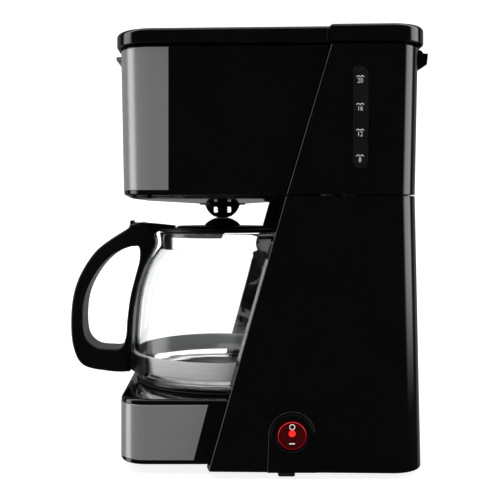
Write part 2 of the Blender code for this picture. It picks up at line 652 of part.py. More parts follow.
# ---- Warming plate and its clamp ------------------------------------------------------------
def warming_plate():
    top = PLATE_TOP_Z
    profile = [(0.6, 52.0), (57.0, 52.0), (63.4, 52.0), (63.8, 52.8), (63.0, top), (57.4, top)]
    profile += [(56.2, top - 0.9), (53.4, top - 0.9), (52.2, top), (0.6, top)]
    piece("warming_plate", turned(profile, 32), "gloss_black", (0.0, 0.0, 52.0))
    seal = [(59.6, 50.8), (65.0, 50.8), (65.0, 51.2), (64.4, 51.7), (59.6, 51.7)]
    piece("plate_seal", turned(seal, 32, closed=True), "black_rubber", (0.0, 0.0, 50.8))


def heater_clamp():
    bar = [(-46.0, 44.0), (-44.0, 44.4), (-41.0, 41.6), (41.0, 41.6), (44.0, 44.4), (46.0, 44.0),
           (43.0, 40.0), (-43.0, 40.0)]
    clamp = piece("heater_clamp", loft([[(x, y, z) for x, z in bar] for y in (-7.0, 7.0)]), "steel")
    cut(clamp, turned([(1.9, 36.0), (1.9, 46.0)], 12))
    screw = [(3.4, 37.6), (3.4, 39.6), (1.5, 39.6), (1.5, 51.6)]
    piece("clamp_screw", turned(screw, 12), "bright_steel", (0.0, 0.0, 39.6))
    piece("thermostat", turned([(7.5, 44.8), (7.5, 50.4), (5.0, 51.6)], SMALL_ROUND, 12.0, -15.0),
          "aluminium", (12.0, -15.0, 44.8))
    fuse = along_x([(1.2, -26.0), (2.2, -24.5), (2.2, -12.5), (1.2, -11.0)], 2.0, 47.0, 10)
    piece("thermal_fuse", fuse, "white_plastic", (-18.5, 2.0, 47.0))


# ---- Switch and wiring ----------------------------------------------------------------------
def switch():
    bezel = [(10.6, 80.6), (12.0, 80.6), (12.0, 86.9), (13.8, 86.9), (13.8, 87.4), (13.4, 87.8), (10.6, 87.2)]
    piece("switch_bezel", along_x(bezel, SWITCH_Y, SWITCH_Z, closed=True), "gloss_black",
          (ROCKER_X, SWITCH_Y, SWITCH_Z))
    body = block((60.0, SWITCH_Y - 11.0, SWITCH_Z - 12.0), (79.6, SWITCH_Y + 11.0, SWITCH_Z + 12.0))
    piece("switch_body", body, "satin_black", (79.6, SWITCH_Y, SWITCH_Z))
    rocker = [(8.4, -2.4), (9.3, -1.8), (9.7, 0.0), (9.5, 1.6), (9.1, 2.5), (0.6, 2.5)]
    shape = along_x([(0.6, -2.4)] + rocker, 0.0, 0.0)
    shape = [(x + ROCKER_X, y + SWITCH_Y, z + SWITCH_Z) for x, y, z in shape[0]], shape[1]
    disc = piece("switch_rocker", shape, "red_plastic", (ROCKER_X, SWITCH_Y, SWITCH_Z))
    disc.rotation_euler = (0.0, ROCKER_TILT, 0.0)


def wiring():
    block_low, block_high = (22.0, 96.0, 12.0), (46.0, 110.0, 24.0)
    piece("terminal_block", block(block_low, block_high), "white_plastic", (34.0, 103.0, 12.0))
    routes = {
        "wire_live": ([(46.6, 103.0, 20.0), (54.0, 98.0, 22.0), (56.0, 80.0, 26.0), (54.0, 58.0, 32.0),
                       (58.0, 50.0, 34.0)], "brown_wire"),
        "wire_switched": ([(58.0, 42.0, 26.0), (51.0, 33.0, 26.0), (43.0, 12.0, 28.0), (30.0, -10.0, 29.0),
                           (15.0, -17.0, 33.0), (12.0, -15.0, 43.8)], "brown_wire"),
        "wire_neutral": ([(21.4, 103.0, 18.0), (8.0, 98.0, 20.0), (-6.0, 84.0, 26.0),
                          (-13.5, 66.0, 34.0), (-13.5, 50.6, 36.0)], "blue_wire"),
    }
    for name, (points, look) in routes.items():
        piece(name, sweep(smooth_path(points, 3), 1.3, 6), look)
    gland = [(CORD_HOLE_R, 124.0), (GLAND_R, 124.0), (GLAND_R, 135.4), (10.2, 135.6), (9.8, 137.4)]
    gland += [(CORD_HOLE_R, 137.4)]
    piece("cord_gland", along_y(gland, GLAND_X, GLAND_Z, SMALL_ROUND, closed=True), "black_rubber",
          (GLAND_X, 135.4, GLAND_Z))


# ---- Carafe ---------------------------------------------------------------------------------
def carafe_glass():
    turns = [2 * math.pi * i / GLASS_SIDES for i in range(GLASS_SIDES)]

    def ring(z, inset):
        """A circle that swells into a pouring lip at the back, towards the rim."""
        lip = 9.0 * max(0.0, (z - 146.0) / 14.4) ** 1.5
        radii = [glass_radius(z) - inset + lip * math.exp(-((a - math.pi / 2) / 0.28) ** 2) for a in turns]
        return [(r * math.cos(a), r * math.sin(a), z) for r, a in zip(radii, turns)]

    heights = [z for z, _ in GLASS]
    rings = [ring(z, 0.0) for z in heights]
    rings += [ring(z, GLASS_WALL) for z in (160.4, 151.0, 146.0, 139.6, 132.0, 120.0, 94.2, 79.0, 60.0)]
    rings += [[(x * 0.93, y * 0.93, heights[0] + GLASS_WALL) for x, y, _ in ring(heights[1], GLASS_WALL)]]
    piece("carafe_glass", loft(rings), "glass", (0.0, 0.0, heights[0]))


def carafe_band():
    outer = [(glass_radius(z) + 0.9, z) for z in (60.0, 73.0)]
    inner = [(glass_radius(z) + GAP, z) for z in (73.0, 60.0)]
    piece("carafe_band", turned(outer + inner, GLASS_SIDES, closed=True), "bright_steel", (0.0, 0.0, 60.0))


def closed_spline(points, steps=2):
    """A smooth closed curve through (y, z) points."""
    knots = [Vector(p) for p in points]
    count = len(knots)
    curve = []
    for i in range(count):
        a, b, c, d = (knots[(i + k) % count] for k in (-1, 0, 1, 2))
        for j in range(steps):
            t = j / steps
            bend = 2 * a - 5 * b + 4 * c - d
            twist = 3 * b - a - 3 * c + d
            curve.append(0.5 * (2 * b + (c - a) * t + bend * t * t + twist * t ** 3))
    return curve


def offset(curve, distance):
    """The closed curve moved to its left by a distance, point by point."""
    moved = []
    for before, here, after in zip(curve[-1:] + curve[:-1], curve, curve[1:] + curve[:1]):
        heading = (after - before).normalized()
        moved.append(here + Vector((-heading.y, heading.x)) * distance)
    return moved


# Side view of the handle, (y, z) from the top of the grip round to the arm beside the glass
HANDLE_OUTSIDE = (
    (-57.0, 166.9), (-68.6, 166.8), (-71.2, 163.6), (-84.0, 155.4), (-95.2, 146.3), (-104.8, 132.4),
    (-111.1, 116.6), (-113.6, 97.0), (-112.1, 76.0), (-104.6, 61.4), (-89.0, 56.9),
    (-69.6, 56.3), (-68.4, 72.0), (-67.3, 90.0), (-64.8, 113.0), (-58.3, 134.6), (-50.2, 152.0),
)
HANDLE_INSIDE = (
    (-62.5, 149.4), (-66.2, 150.1), (-70.0, 149.6), (-80.0, 145.4), (-90.0, 136.6), (-98.4, 124.0),
    (-103.2, 111.0), (-104.6, 95.0), (-102.6, 82.0), (-95.4, 75.0), (-85.0, 73.5),
    (-76.4, 74.2), (-72.5, 82.0), (-71.4, 95.0), (-69.2, 112.0), (-65.5, 127.0), (-62.2, 140.0),
)


def carafe_handle():
    """A closed grip with rounded edges, its saddle round the band and its ears for the lid's pin."""
    outside, inside = closed_spline(HANDLE_OUTSIDE), closed_spline(HANDLE_INSIDE)
    edge = ((-14.0, 1.5), (-13.2, 0.4), (-11.8, 0.0), (11.8, 0.0), (13.2, 0.4), (14.0, 1.5))
    rings = [[(x, *p) for p in offset(outside, inset)] for x, inset in edge]
    rings += [[(x, *p) for p in offset(inside, -inset * 0.6)] for x, inset in edge[::-1]]
    handle = piece("carafe_handle", loft(rings, closed=True), "satin_black", (0.0, LID_PIN_Y, LID_PIN_Z))
    saddle = []
    for i in range(13):
        a = math.radians(-90 - 39 + 78 * i / 12)
        section = [(67.9, 59.6), (69.6, 59.0), (70.6, 60.2), (70.6, 70.8), (69.6, 72.2), (67.9, 71.8)]
        saddle.append([(r * math.cos(a), r * math.sin(a), z) for r, z in section])
    add(handle, loft(saddle))
    cut(handle, block((-7.8, -63.4, 156.6), (7.8, -44.0, 172.0)))
    cut(handle, block((-7.8, -73.0, 165.8), (7.8, -60.0, 172.0)))
    cut(handle, lid_pin_hole(13.0))
    hole = [(3.4, 54.0), (3.4, 60.6), (1.8, 60.6), (1.8, 69.4)]
    cut(handle, turned(hole, 12, 0.0, -78.0))
    screw = [(3.0, 58.4), (3.0, 60.2), (1.5, 60.2), (1.5, 68.6)]
    piece("handle_screw", turned(screw, 12, 0.0, -78.0), "bright_steel", (0.0, -78.0, 60.2))


def lid_pin_hole(reach):
    """The hole for the lid's pin, reaching this far to each side."""
    r = LID_PIN_HOLE_R
    return along_x([(r, -reach), (r, reach)], LID_PIN_Y, LID_PIN_Z, SMALL_ROUND)


def carafe_lid():
    under = [(0.6, 162.0), (41.6, 161.8), (42.4, 157.2), (43.8, 157.2), (44.2, 161.0), (48.0, 161.1)]
    top = [(48.6, 162.2), (47.6, 163.4), (36.0, 163.7), (33.6, 165.4), (14.4, 165.4), (13.4, 165.9)]
    knob = [(12.9, 167.0), (11.2, 168.4), (9.0, 169.9), (6.9, 170.9), (4.8, 171.4), (0.6, 171.4)]
    lid = piece("carafe_lid", turned(under + top + knob, 32), "satin_black", (0.0, LID_PIN_Y, LID_PIN_Z))
    open_side = [(-1.5, 156.0), (60.0, 156.0), (60.0, 160.9), (1.5, 160.9)]
    cut(lid, slab(open_side, -60.0, 60.0))  # the skirt inside the rim only runs round the handle's half
    lever = [(-36.0, 162.6), (-36.0, 165.6), (-45.0, 166.6), (-54.8, 167.5), (-67.6, 168.0), (-67.9, 169.5),
             (-69.9, 169.5), (-69.9, 166.3), (-63.0, 166.2), (-57.6, 165.4), (-57.4, 160.0), (-54.0, 157.7),
             (-51.0, 159.2), (-49.0, 161.3)]
    add(lid, slab(lever, -7.2, 7.2))
    add(lid, block((-6.0, -44.2, 148.2), (6.0, -38.8, 162.4)))  # the clip behind the hinge
    cut(lid, lid_pin_hole(20.0))
    for i in range(6):
        a = math.radians(60 * i + 30)
        cut(lid, turned([(2.4, 158.0), (2.4, 168.0)], 10, 19.0 * math.cos(a), 19.0 * math.sin(a)))
    pin = along_x([(1.5, -12.6), (1.5, 12.6)], LID_PIN_Y, LID_PIN_Z, 12)
    piece("carafe_lid_pin", pin, "bright_steel", (0.0, LID_PIN_Y, LID_PIN_Z))


def main():
    clear_scene()
    frame_empty()
    lower_housing()
    upper_housing()
    level_window()
    hinge_pins()
    bay_liner()
    base_housing()
    bottom_cover()
    screws()
    feet()
    trims()
    brew_head_housing()
    filter_basket()
    water_spreader()
    drip_stop_cage()
    drip_stop_plunger()
    drip_stop_seal()
    drip_stop_spring()
    top_lid()
    lid_liner()
    water_tank()
    check_valve()
    heater()
    hoses()
    warming_plate()
    heater_clamp()
    switch()
    wiring()
    carafe_glass()
    carafe_band()
    carafe_handle()
    carafe_lid()


main()
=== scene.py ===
"""Looks for the drip coffee maker: fine pieces, materials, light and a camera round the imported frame.

Shapes are worked out in millimetres, with Y measured from the carafe's axis, as in the design.
Each fine piece rides on the body of the CAD node that it stands for and takes that node's material slot.
"""

import json
import math

import bmesh
import bpy
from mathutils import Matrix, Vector


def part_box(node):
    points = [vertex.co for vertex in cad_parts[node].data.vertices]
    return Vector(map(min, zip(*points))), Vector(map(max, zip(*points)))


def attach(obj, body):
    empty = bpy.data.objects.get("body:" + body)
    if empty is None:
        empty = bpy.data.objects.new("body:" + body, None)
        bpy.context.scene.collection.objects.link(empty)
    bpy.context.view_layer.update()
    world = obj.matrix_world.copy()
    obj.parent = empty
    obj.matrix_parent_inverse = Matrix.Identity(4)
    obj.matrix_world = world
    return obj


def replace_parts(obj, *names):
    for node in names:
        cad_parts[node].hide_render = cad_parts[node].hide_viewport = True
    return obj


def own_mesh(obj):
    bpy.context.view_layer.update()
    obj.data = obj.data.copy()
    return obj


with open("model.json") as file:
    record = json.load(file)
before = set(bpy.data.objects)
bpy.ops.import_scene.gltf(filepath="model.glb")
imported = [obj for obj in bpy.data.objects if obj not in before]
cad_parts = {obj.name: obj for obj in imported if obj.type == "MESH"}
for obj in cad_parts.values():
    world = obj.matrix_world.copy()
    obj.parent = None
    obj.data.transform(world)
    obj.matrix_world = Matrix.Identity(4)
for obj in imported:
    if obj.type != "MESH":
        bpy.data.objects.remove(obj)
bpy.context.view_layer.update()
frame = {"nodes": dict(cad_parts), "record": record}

# ---- What the frame says ----
MM = 0.001
RECORD = frame["record"]
BODY_OF = {node: body for body, nodes in RECORD["behaviour"]["bodies"].items() for node in nodes}
SLOT_OF = {row["node"]: row["material_slot"] for row in RECORD["subparts"]}


def plate_axis_y():
    """The carafe's axis in the row frame, from the round plate that it stands on."""
    low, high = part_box("warming_plate")
    return (low.y + high.y) / 2 / MM


FRAME_Y = plate_axis_y()


# ---- Driving dimensions, in millimetres, as the design has them ----
GAP = 0.3
WALL = 2.4
REAR_FOOT_HALF, REAR_SEAM_HALF, REAR_TOP_HALF = 86.0, 81.5, 83.0
REAR_FOOT_Y, REAR_SEAM_Y, REAR_TOP_Y = 135.3, 132.5, 134.2
REAR_RADIUS = 23.0
EDGE_FOOT = (-10.8, 4.8)
EDGE_SEAM = (41.0, 187.3)
EDGE_TOP = (71.0, 288.0)
FOOT_FALL = 0.0085
LIP_X = 76.7
EDGE_SLANT = 1.5
SEAM_Z = 187.3
HEAD_HALF, HEAD_RADIUS = 76.0, 23.0
HEAD_FRONT_TOP, HEAD_FRONT_FOOT = -70.5, -68.5
HEAD_REAR = 66.0
HEAD_TOP_Z = 288.0
OUTLET_R, OUTLET_Z = 18.0, 182.2
BASE_HALF, BASE_RADIUS, BASE_FRONT, BASE_REAR = 76.4, 18.0, -69.8, 129.5
BASE_FOOT_Z, DECK_Z = 6.8, 50.4
BASE_TRIM_Z = (9.8, 46.7)
HEAD_TRIM_Z = (190.9, 287.0)
LID_FOOT_Z, LID_TOP_Z, LID_RISE = 289.3, 299.9, 0.0103
LID_FRONT_HALF, LID_REAR_HALF, LID_FRONT, LID_REAR = 79.0, 86.0, -73.5, 137.7
HINGE_Y, HINGE_Z, HINGE_PIN_R = 138.4, 282.8, 1.6
LUG_X = (44.0, 57.5)
TRIM_PROUD, TRIM_THICK = 0.2, 0.7
TANK_FRONT, TANK_REAR, TANK_HALF = 84.0, 129.6, 78.4
TANK_FOOT_Z, TANK_TOP_Z = 190.6, 284.0
LINER_HALF, LINER_REAR, LINER_RADIUS, LINER_TOP_Z = 76.3, 71.2, 24.0, 184.9
PLATE_TOP_Z = 53.9
HOSE_X, HOSE_Y = 22.0, 77.5
VALVE_Y = 100.0
STOP_FOOT_Z = 171.7
SWITCH_Y, SWITCH_Z, SWITCH_HOLE_R = 45.8, 29.1, 12.4
ROCKER_X, ROCKER_TILT = 84.3, math.radians(7)
GLAND_X, GLAND_Z, GLAND_R, CORD_HOLE_R = 34.0, 24.0, 7.0, 4.4
COVER_Z = (6.9, 8.9)
STEP_Y = -3.6
SCREW_SPOTS = {"front_left": (-62.0, -50.0), "front_right": (62.0, -50.0),
               "rear_left": (-62.0, 112.0), "rear_right": (62.0, 112.0)}
FOOT_SPOTS = {"front_left": (-46.0, -46.0), "front_right": (46.0, -46.0),
              "side_left": (-74.6, 42.7), "side_right": (74.6, 42.7),
              "rear_left": (-52.0, 102.0), "rear_right": (52.0, 102.0)}
SCREW_HOLE_R = 1.9
GLASS = (
    (54.2, 57.0), (55.8, 61.6), (60.0, 65.0), (73.0, 66.5), (79.0, 66.9), (94.2, 66.1),
    (109.4, 64.6), (120.0, 62.6), (132.0, 58.6), (139.6, 54.8), (146.0, 50.4),
    (151.0, 47.0), (160.4, 47.8),
)
GLASS_WALL = 2.0
LID_PIN_Y, LID_PIN_Z, LID_PIN_HOLE_R = -54.0, 161.0, 1.8
WINDOW_LOW, WINDOW_HIGH, WINDOW_Y, WINDOW_R = 204.6, 273.6, 91.7, 5.7
WINDOW_MARKS = (("20", 261.7), ("16", 243.4), ("12", 226.3), ("8", 209.2))
MARK_Y, NUMERAL_TALL, NUMERAL_NARROWED, NUMERAL_THINNED = 91.3, 3.3, 0.84, -0.11
WAVE_WIDE, WAVE_SWING, WAVE_STROKE, WAVE_LIFT = 5.2, 0.42, 0.17, 4.4
ARCH_R, ARCH_FOOT_HALF, ARCH_FOOT_Z, ARCH_PROUD, ARCH_ROUND = 15.4, 16.4, 4.6, 0.8, 0.45
BAND_FOOT_Z, BAND_TALL = 60.0, 13.0
HANDLE_HALF, HANDLE_SCREW_Y, LEVER_HALF = 14.0, -78.0, 7.2
SPOUT_Z, SPOUT_REACH = 146.0, 9.0

# How finely things are drawn: steps to a corner, sides to a round, and bevels
CORNER_STEPS = 18
ROUND = 96
MIDDLE_ROUND = 48
SMALL_ROUND = 28
PLATE_ROUND, CARAFE_ROUND = 128, 144
BEVEL_SEGMENTS, BEVEL_ANGLE = 3, 38


# ---- Shapes as (points, faces) ----
def loft(rings, closed=False):
    """A skin through rings of equal length, capped at both ends or closed on itself."""
    count = len(rings[0])
    points = [p for ring in rings for p in ring]
    faces = []
    for i in range(len(rings) if closed else len(rings) - 1):
        a, b = i * count, (i + 1) % len(rings) * count
        for j in range(count):
            k = (j + 1) % count
            faces.append((a + j, a + k, b + k, b + j))
    if not closed:
        faces.append(tuple(range(count)))
        faces.append(tuple(range(len(points) - count, len(points))))
    return points, faces


def turned(profile, sides=ROUND, x=0.0, y=0.0, closed=False):
    """A shape turned about an upright axis from (radius, z) points."""
    turns = [2 * math.pi * i / sides for i in range(sides)]
    rings = [[(x + r * math.cos(a), y + r * math.sin(a), z) for a in turns] for r, z in profile]
    return loft(rings, closed)


def rod(r, low, high, x=0.0, y=0.0, sides=SMALL_ROUND):
    """An upright round bar."""
    return turned([(r, low), (r, high)], sides, x, y)


def swapped(shape, order):
    return [tuple(p[i] for i in order) for p in shape[0]], shape[1]


def along_x(profile, y, z, sides=ROUND, closed=False):
    return swapped(turned(profile, sides, y, z, closed), (2, 0, 1))


def along_y(profile, x, z, sides=ROUND, closed=False):
    return swapped(turned(profile, sides, x, z, closed), (0, 2, 1))


def level(outline, z):
    return [(x, y, z) for x, y in outline]


def block(low, high):
    corners = [(low[0], low[1]), (high[0], low[1]), (high[0], high[1]), (low[0], high[1])]
    return loft([level(corners, low[2]), level(corners, high[2])])


def slab(outline_yz, x0, x1):
    return loft([[(x, y, z) for y, z in outline_yz] for x in (x0, x1)])


def arc(cx, cy, r, start, end, steps=CORNER_STEPS):
    turns = [math.radians(start + (end - start) * i / steps) for i in range(steps + 1)]
    return [(cx + r * math.cos(a), cy + r * math.sin(a)) for a in turns]


def plan(half, front, rear, front_r, rear_r, along=0):
    """A rounded rectangle seen from above, with extra points along its straight sides."""
    corners = [
        arc(half - front_r, front + front_r, front_r, -90, 0),
        arc(half - rear_r, rear - rear_r, rear_r, 0, 90),
        arc(rear_r - half, rear - rear_r, rear_r, 90, 180),
        arc(front_r - half, front + front_r, front_r, 180, 270),
    ]
    outline = []
    for this, following in zip(corners, corners[1:] + corners[:1]):
        (x0, y0), (x1, y1) = this[-1], following[0]
        shares = [i / (along + 1) for i in range(1, along + 1)]
        outline += this + [(x0 + (x1 - x0) * s, y0 + (y1 - y0) * s) for s in shares]
    return outline


def quarter(steps):
    """A rounded edge from its side to its top: how far in and how far down, as shares of its size."""
    turns = [math.radians(90 * i / steps) for i in range(steps + 1)]
    return [(1 - math.cos(a), 1 - math.sin(a)) for a in turns]


def between(z, low, high, at_low, at_high):
    return at_low + (at_high - at_low) * (z - low) / (high - low)


def spline_point(a, b, c, d, t):
    """A point at share t between b and c on the smooth curve through a, b, c and d."""
    bend = 2 * a - 5 * b + 4 * c - d
    twist = 3 * b - a - 3 * c + d
    return 0.5 * (2 * b + (c - a) * t + bend * t * t + twist * t ** 3)


def smooth_path(points, steps=6):
    """A smooth open curve through the points, as a list of vectors."""
    ends = [2 * Vector(points[0]) - Vector(points[1]), 2 * Vector(points[-1]) - Vector(points[-2])]
    knots = [ends[0]] + [Vector(p) for p in points] + [ends[1]]
    path = []
    for a, b, c, d in zip(knots, knots[1:], knots[2:], knots[3:]):
        path += [spline_point(a, b, c, d, i / steps) for i in range(steps)]
    return path + [Vector(points[-1])]


def closed_spline(points, steps=8):
    """A smooth closed curve through (y, z) points."""
    knots = [Vector(p) for p in points]
    count = len(knots)
    curve = []
    for i in range(count):
        a, b, c, d = (knots[(i + k) % count] for k in (-1, 0, 1, 2))
        curve += [spline_point(a, b, c, d, j / steps) for j in range(steps)]
    return curve


def offset(curve, distance):
    """The closed curve moved to its left by a distance, point by point."""
    moved = []
    for before, here, after in zip(curve[-1:] + curve[:-1], curve, curve[1:] + curve[:1]):
        heading = (after - before).normalized()
        moved.append(here + Vector((-heading.y, heading.x)) * distance)
    return moved


def sweep(path, radius, sides):
    """A round bar along a path."""
    side = Vector((0.37, 0.51, 0.78)).cross(path[1] - path[0]).normalized()
    frames = []
    for i, point in enumerate(path):
        heading = path[min(i + 1, len(path) - 1)] - path[max(i - 1, 0)]
        side = (side - heading * side.dot(heading) / heading.length_squared).normalized()
        frames.append((point, side, heading.normalized().cross(side)))
    turns = [2 * math.pi * i / sides for i in range(sides)]
    return loft([[tuple(p + (u * math.cos(a) + v * math.sin(a)) * radius) for a in turns]
                 for p, u, v in frames])


# ---- Turning shapes into pieces ----
def mesh_object(name, shape):
    """An object from a shape in design millimetres, placed in the row frame in metres."""
    grid = bmesh.new()
    shift = Vector((0.0, FRAME_Y, 0.0))
    vertices = [grid.verts.new((Vector(p) + shift) * MM) for p in shape[0]]
    for face in shape[1]:
        grid.faces.new([vertices[i] for i in face])
    bmesh.ops.recalc_face_normals(grid, faces=grid.faces)
    mesh = bpy.data.meshes.new(name)
    grid.to_mesh(mesh)
    grid.free()
    obj = bpy.data.objects.new(name, mesh)
    bpy.context.scene.collection.objects.link(obj)
    return obj


def round_edges(obj, width):
    """Bevels every edge that turns by more than BEVEL_ANGLE, by a width in millimetres."""
    bevel = obj.modifiers.new("edges", "BEVEL")
    bevel.width = width * MM
    bevel.segments = BEVEL_SEGMENTS
    bevel.limit_method = "ANGLE"
    bevel.angle_limit = math.radians(BEVEL_ANGLE)
    bevel.miter_outer = "MITER_ARC"


def combine(target, shape, operation, edge=0.0):
    """Joins a shape to the target or cuts it away; its own edges can be rounded first."""
    helper = mesh_object(f"{target.name}_{len(target.modifiers)}", shape)
    if edge:
        round_edges(helper, edge)
    modifier = target.modifiers.new(helper.name, "BOOLEAN")
    modifier.operation = operation
    modifier.solver = "EXACT"
    modifier.object = helper


def cut(target, shape, edge=0.0):
    combine(target, shape, "DIFFERENCE", edge)


def add(target, shape, edge=0.0):
    combine(target, shape, "UNION", edge)


def settle(obj, angle=32):
    """Applies the modifiers, removes their helpers and shades smooth with true flats."""
    helpers = [m.object for m in obj.modifiers if m.type == "BOOLEAN"]
    if obj.modifiers:
        graph = bpy.context.evaluated_depsgraph_get()
        mesh = bpy.data.meshes.new_from_object(obj.evaluated_get(graph))
        obj.modifiers.clear()
        obj.data = mesh
    for helper in helpers:
        bpy.data.objects.remove(helper, do_unlink=True)
    obj.data.shade_smooth()
    obj.data.set_sharp_from_angle(angle=math.radians(angle))
    weighted = obj.modifiers.new("flats", "WEIGHTED_NORMAL")
    weighted.keep_sharp = True
    return obj


def dress(obj, body, slot):
    obj.data.materials.clear()
    obj.data.materials.append(MATERIALS[slot])
    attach(obj, body)
    return obj


def fine(obj, node, angle=32):
    """Makes the object stand for a CAD node: its body, its material slot and its place."""
    settle(obj, angle)
    dress(obj, BODY_OF[node], SLOT_OF[node])
    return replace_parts(obj, node)


def started(node, shape):
    """The first solid of the fine piece for a node."""
    return mesh_object(f"{node}_fine", shape)


def whole(node, shape, angle=32):
    """A fine piece that is one shape, with nothing joined to it or cut from it."""
    return fine(started(node, shape), node, angle)


# ---- Materials ----
MATERIALS = {}
NOISE_SPAN = (0.3, 0.7)


def shader_of(name):
    """A new material with its node tree and its Principled shader."""
    material = bpy.data.materials.new(name)
    material.use_nodes = True
    return material, material.node_tree, material.node_tree.nodes["Principled BSDF"]


def noise(tree, scale, stretch=None, detail=3.0):
    """Noise over the piece's own metres: scale is how many features go to a metre."""
    coordinates = tree.nodes.new("ShaderNodeTexCoord")
    pattern = tree.nodes.new("ShaderNodeTexNoise")
    pattern.inputs["Scale"].default_value = scale
    pattern.inputs["Detail"].default_value = detail
    source = coordinates.outputs["Object"]
    if stretch:
        mapping = tree.nodes.new("ShaderNodeMapping")
        mapping.inputs["Scale"].default_value = stretch
        tree.links.new(source, mapping.inputs["Vector"])
        source = mapping.outputs["Vector"]
    tree.links.new(source, pattern.inputs["Vector"])
    return pattern.outputs["Fac"]


def spread(tree, factor, low, high):
    node = tree.nodes.new("ShaderNodeMapRange")
    for socket, value in zip(("From Min", "From Max", "To Min", "To Max"), (*NOISE_SPAN, low, high)):
        node.inputs[socket].default_value = value
    tree.links.new(factor, node.inputs["Value"])
    return node.outputs["Result"]


def tint(tree, factor, dark, light):
    node = tree.nodes.new("ShaderNodeValToRGB")
    for element, position, colour in zip(node.color_ramp.elements, NOISE_SPAN, (dark, light)):
        element.position = position
        element.color = (*colour, 1.0)
    tree.links.new(factor, node.inputs["Fac"])
    return node.outputs["Color"]


def bump(tree, shader, *heights):
    """Relief from (height, depth in millimetres) pairs, one on top of the other."""
    last = None
    for height, depth in heights:
        node = tree.nodes.new("ShaderNodeBump")
        node.inputs["Distance"].default_value = depth * MM
        tree.links.new(height, node.inputs["Height"])
        if last:
            tree.links.new(last, node.inputs["Normal"])
        last = node.outputs["Normal"]
    tree.links.new(last, shader.inputs["Normal"])


def finish_of(name, dark, light, rough, grain, depth, patch=35.0, stretch=None, **sockets):
    """A finish whose colour and roughness drift in patches and whose surface has a fine grain."""
    material, tree, shader = shader_of(name)
    drift = noise(tree, patch, stretch)
    fine_grain = noise(tree, grain, stretch)
    tree.links.new(tint(tree, drift, dark, light), shader.inputs["Base Color"])
    tree.links.new(spread(tree, drift if not stretch else fine_grain, *rough), shader.inputs["Roughness"])
    bump(tree, shader, (drift, depth * 2), (fine_grain, depth))
    for socket, value in sockets.items():
        shader.inputs[socket.replace("_", " ")].default_value = value
    MATERIALS[name] = material


def grey(value):
    return (value, value, value * 1.01)


def finishes():
    finish_of("gloss_black", grey(0.0014), grey(0.0022), (0.045, 0.085), 420.0, 0.0012)
    finish_of("satin_black", grey(0.0020), grey(0.0036), (0.33, 0.43), 2600.0, 0.012,
              Specular_IOR_Level=0.2)
    finish_of("handle_black", grey(0.0022), grey(0.0038), (0.20, 0.28), 1900.0, 0.006,
              Specular_IOR_Level=0.4)
    finish_of("brushed_trim", grey(0.25), grey(0.29), (0.20, 0.26), 1.0, 0.0006, 1.0,
              (14.0, 14.0, 5200.0), Metallic=0.28)
    finish_of("bright_steel", grey(0.58), grey(0.66), (0.13, 0.20), 900.0, 0.0015, Metallic=1.0)
    finish_of("band_steel", grey(0.56), grey(0.64), (0.50, 0.58), 1.0, 0.0006, 1.0,
              (14.0, 14.0, 2600.0), Metallic=0.08, Specular_IOR_Level=0.2)
    finish_of("aluminium", grey(0.66), grey(0.74), (0.30, 0.42), 1500.0, 0.004, Metallic=1.0)
    finish_of("clear_glass", (0.965, 0.98, 0.975), (0.985, 0.995, 0.99), (0.0, 0.012), 60.0, 0.0012,
              9.0, Transmission_Weight=1.0, IOR=1.47)
    finish_of("smoked_clear", grey(0.006), grey(0.010), (0.06, 0.11), 500.0, 0.0015, IOR=1.62)
    finish_of("tank_plastic", grey(0.72), grey(0.80), (0.22, 0.32), 700.0, 0.004,
              Transmission_Weight=0.75)
    finish_of("white_plastic", grey(0.74), grey(0.80), (0.38, 0.48), 1800.0, 0.006)
    finish_of("silicone", grey(0.70), grey(0.78), (0.42, 0.55), 900.0, 0.006, Transmission_Weight=0.35)
    finish_of("silicone_black", grey(0.010), grey(0.016), (0.55, 0.72), 1600.0, 0.012)
    finish_of("plate_coating", grey(0.0030), grey(0.0055), (0.10, 0.19), 1500.0, 0.004)
    finish_of("red_plastic", (0.010, 0.0002, 0.0003), (0.060, 0.0004, 0.0010), (0.10, 0.16), 1300.0,
              0.006, 900.0, Emission_Color=(1.0, 0.0, 0.012, 1.0), Emission_Strength=0.018)
    finish_of("wire_brown", (0.12, 0.040, 0.018), (0.16, 0.055, 0.026), (0.38, 0.48), 1500.0, 0.004)
    finish_of("wire_blue", (0.014, 0.06, 0.27), (0.020, 0.08, 0.33), (0.38, 0.48), 1500.0, 0.004)
    finish_of("lit_red", (0.42, 0.006, 0.012), (0.52, 0.010, 0.018), (0.12, 0.20), 1200.0, 0.004,
              300.0, Emission_Color=(1.0, 0.012, 0.03, 1.0), Emission_Strength=0.18)
    finish_of("lamp_red", (0.90, 0.010, 0.008), (1.0, 0.016, 0.012), (0.10, 0.18), 1200.0, 0.003,
              300.0, Emission_Color=(1.0, 0.012, 0.010, 1.0), Emission_Strength=1.6)
    # The white print has an emission: a painted glow, since the print is no lamp
    finish_of("print_white_with_painted_glow", grey(0.74), grey(0.82), (0.40, 0.50), 2500.0, 0.004, 600.0,
              Emission_Color=(1.0, 1.0, 1.0, 1.0), Emission_Strength=0.36)
    finish_of("stage_floor", (0.40, 0.40, 0.40), (0.42, 0.42, 0.42), (0.55, 0.65), 120.0, 0.01, 3.0,
              Emission_Color=(1.0, 1.0, 1.0, 1.0), Emission_Strength=0.88)


finishes()


# ---- Sizes that follow ----
EDGE_ROUND = 1.1
SEAM_EASE = 0.45


def by_height(z, at_foot, at_seam, at_top):
    """A size of the rear body, which changes evenly up to the seam and on to the top."""
    if z < SEAM_Z:
        return between(z, EDGE_FOOT[1], SEAM_Z, at_foot, at_seam)
    return between(z, SEAM_Z, EDGE_TOP[1], at_seam, at_top)


def rear_half(z):
    return by_height(z, REAR_FOOT_HALF, REAR_SEAM_HALF, REAR_TOP_HALF)


def rear_face(z):
    return by_height(z, REAR_FOOT_Y, REAR_SEAM_Y, REAR_TOP_Y)


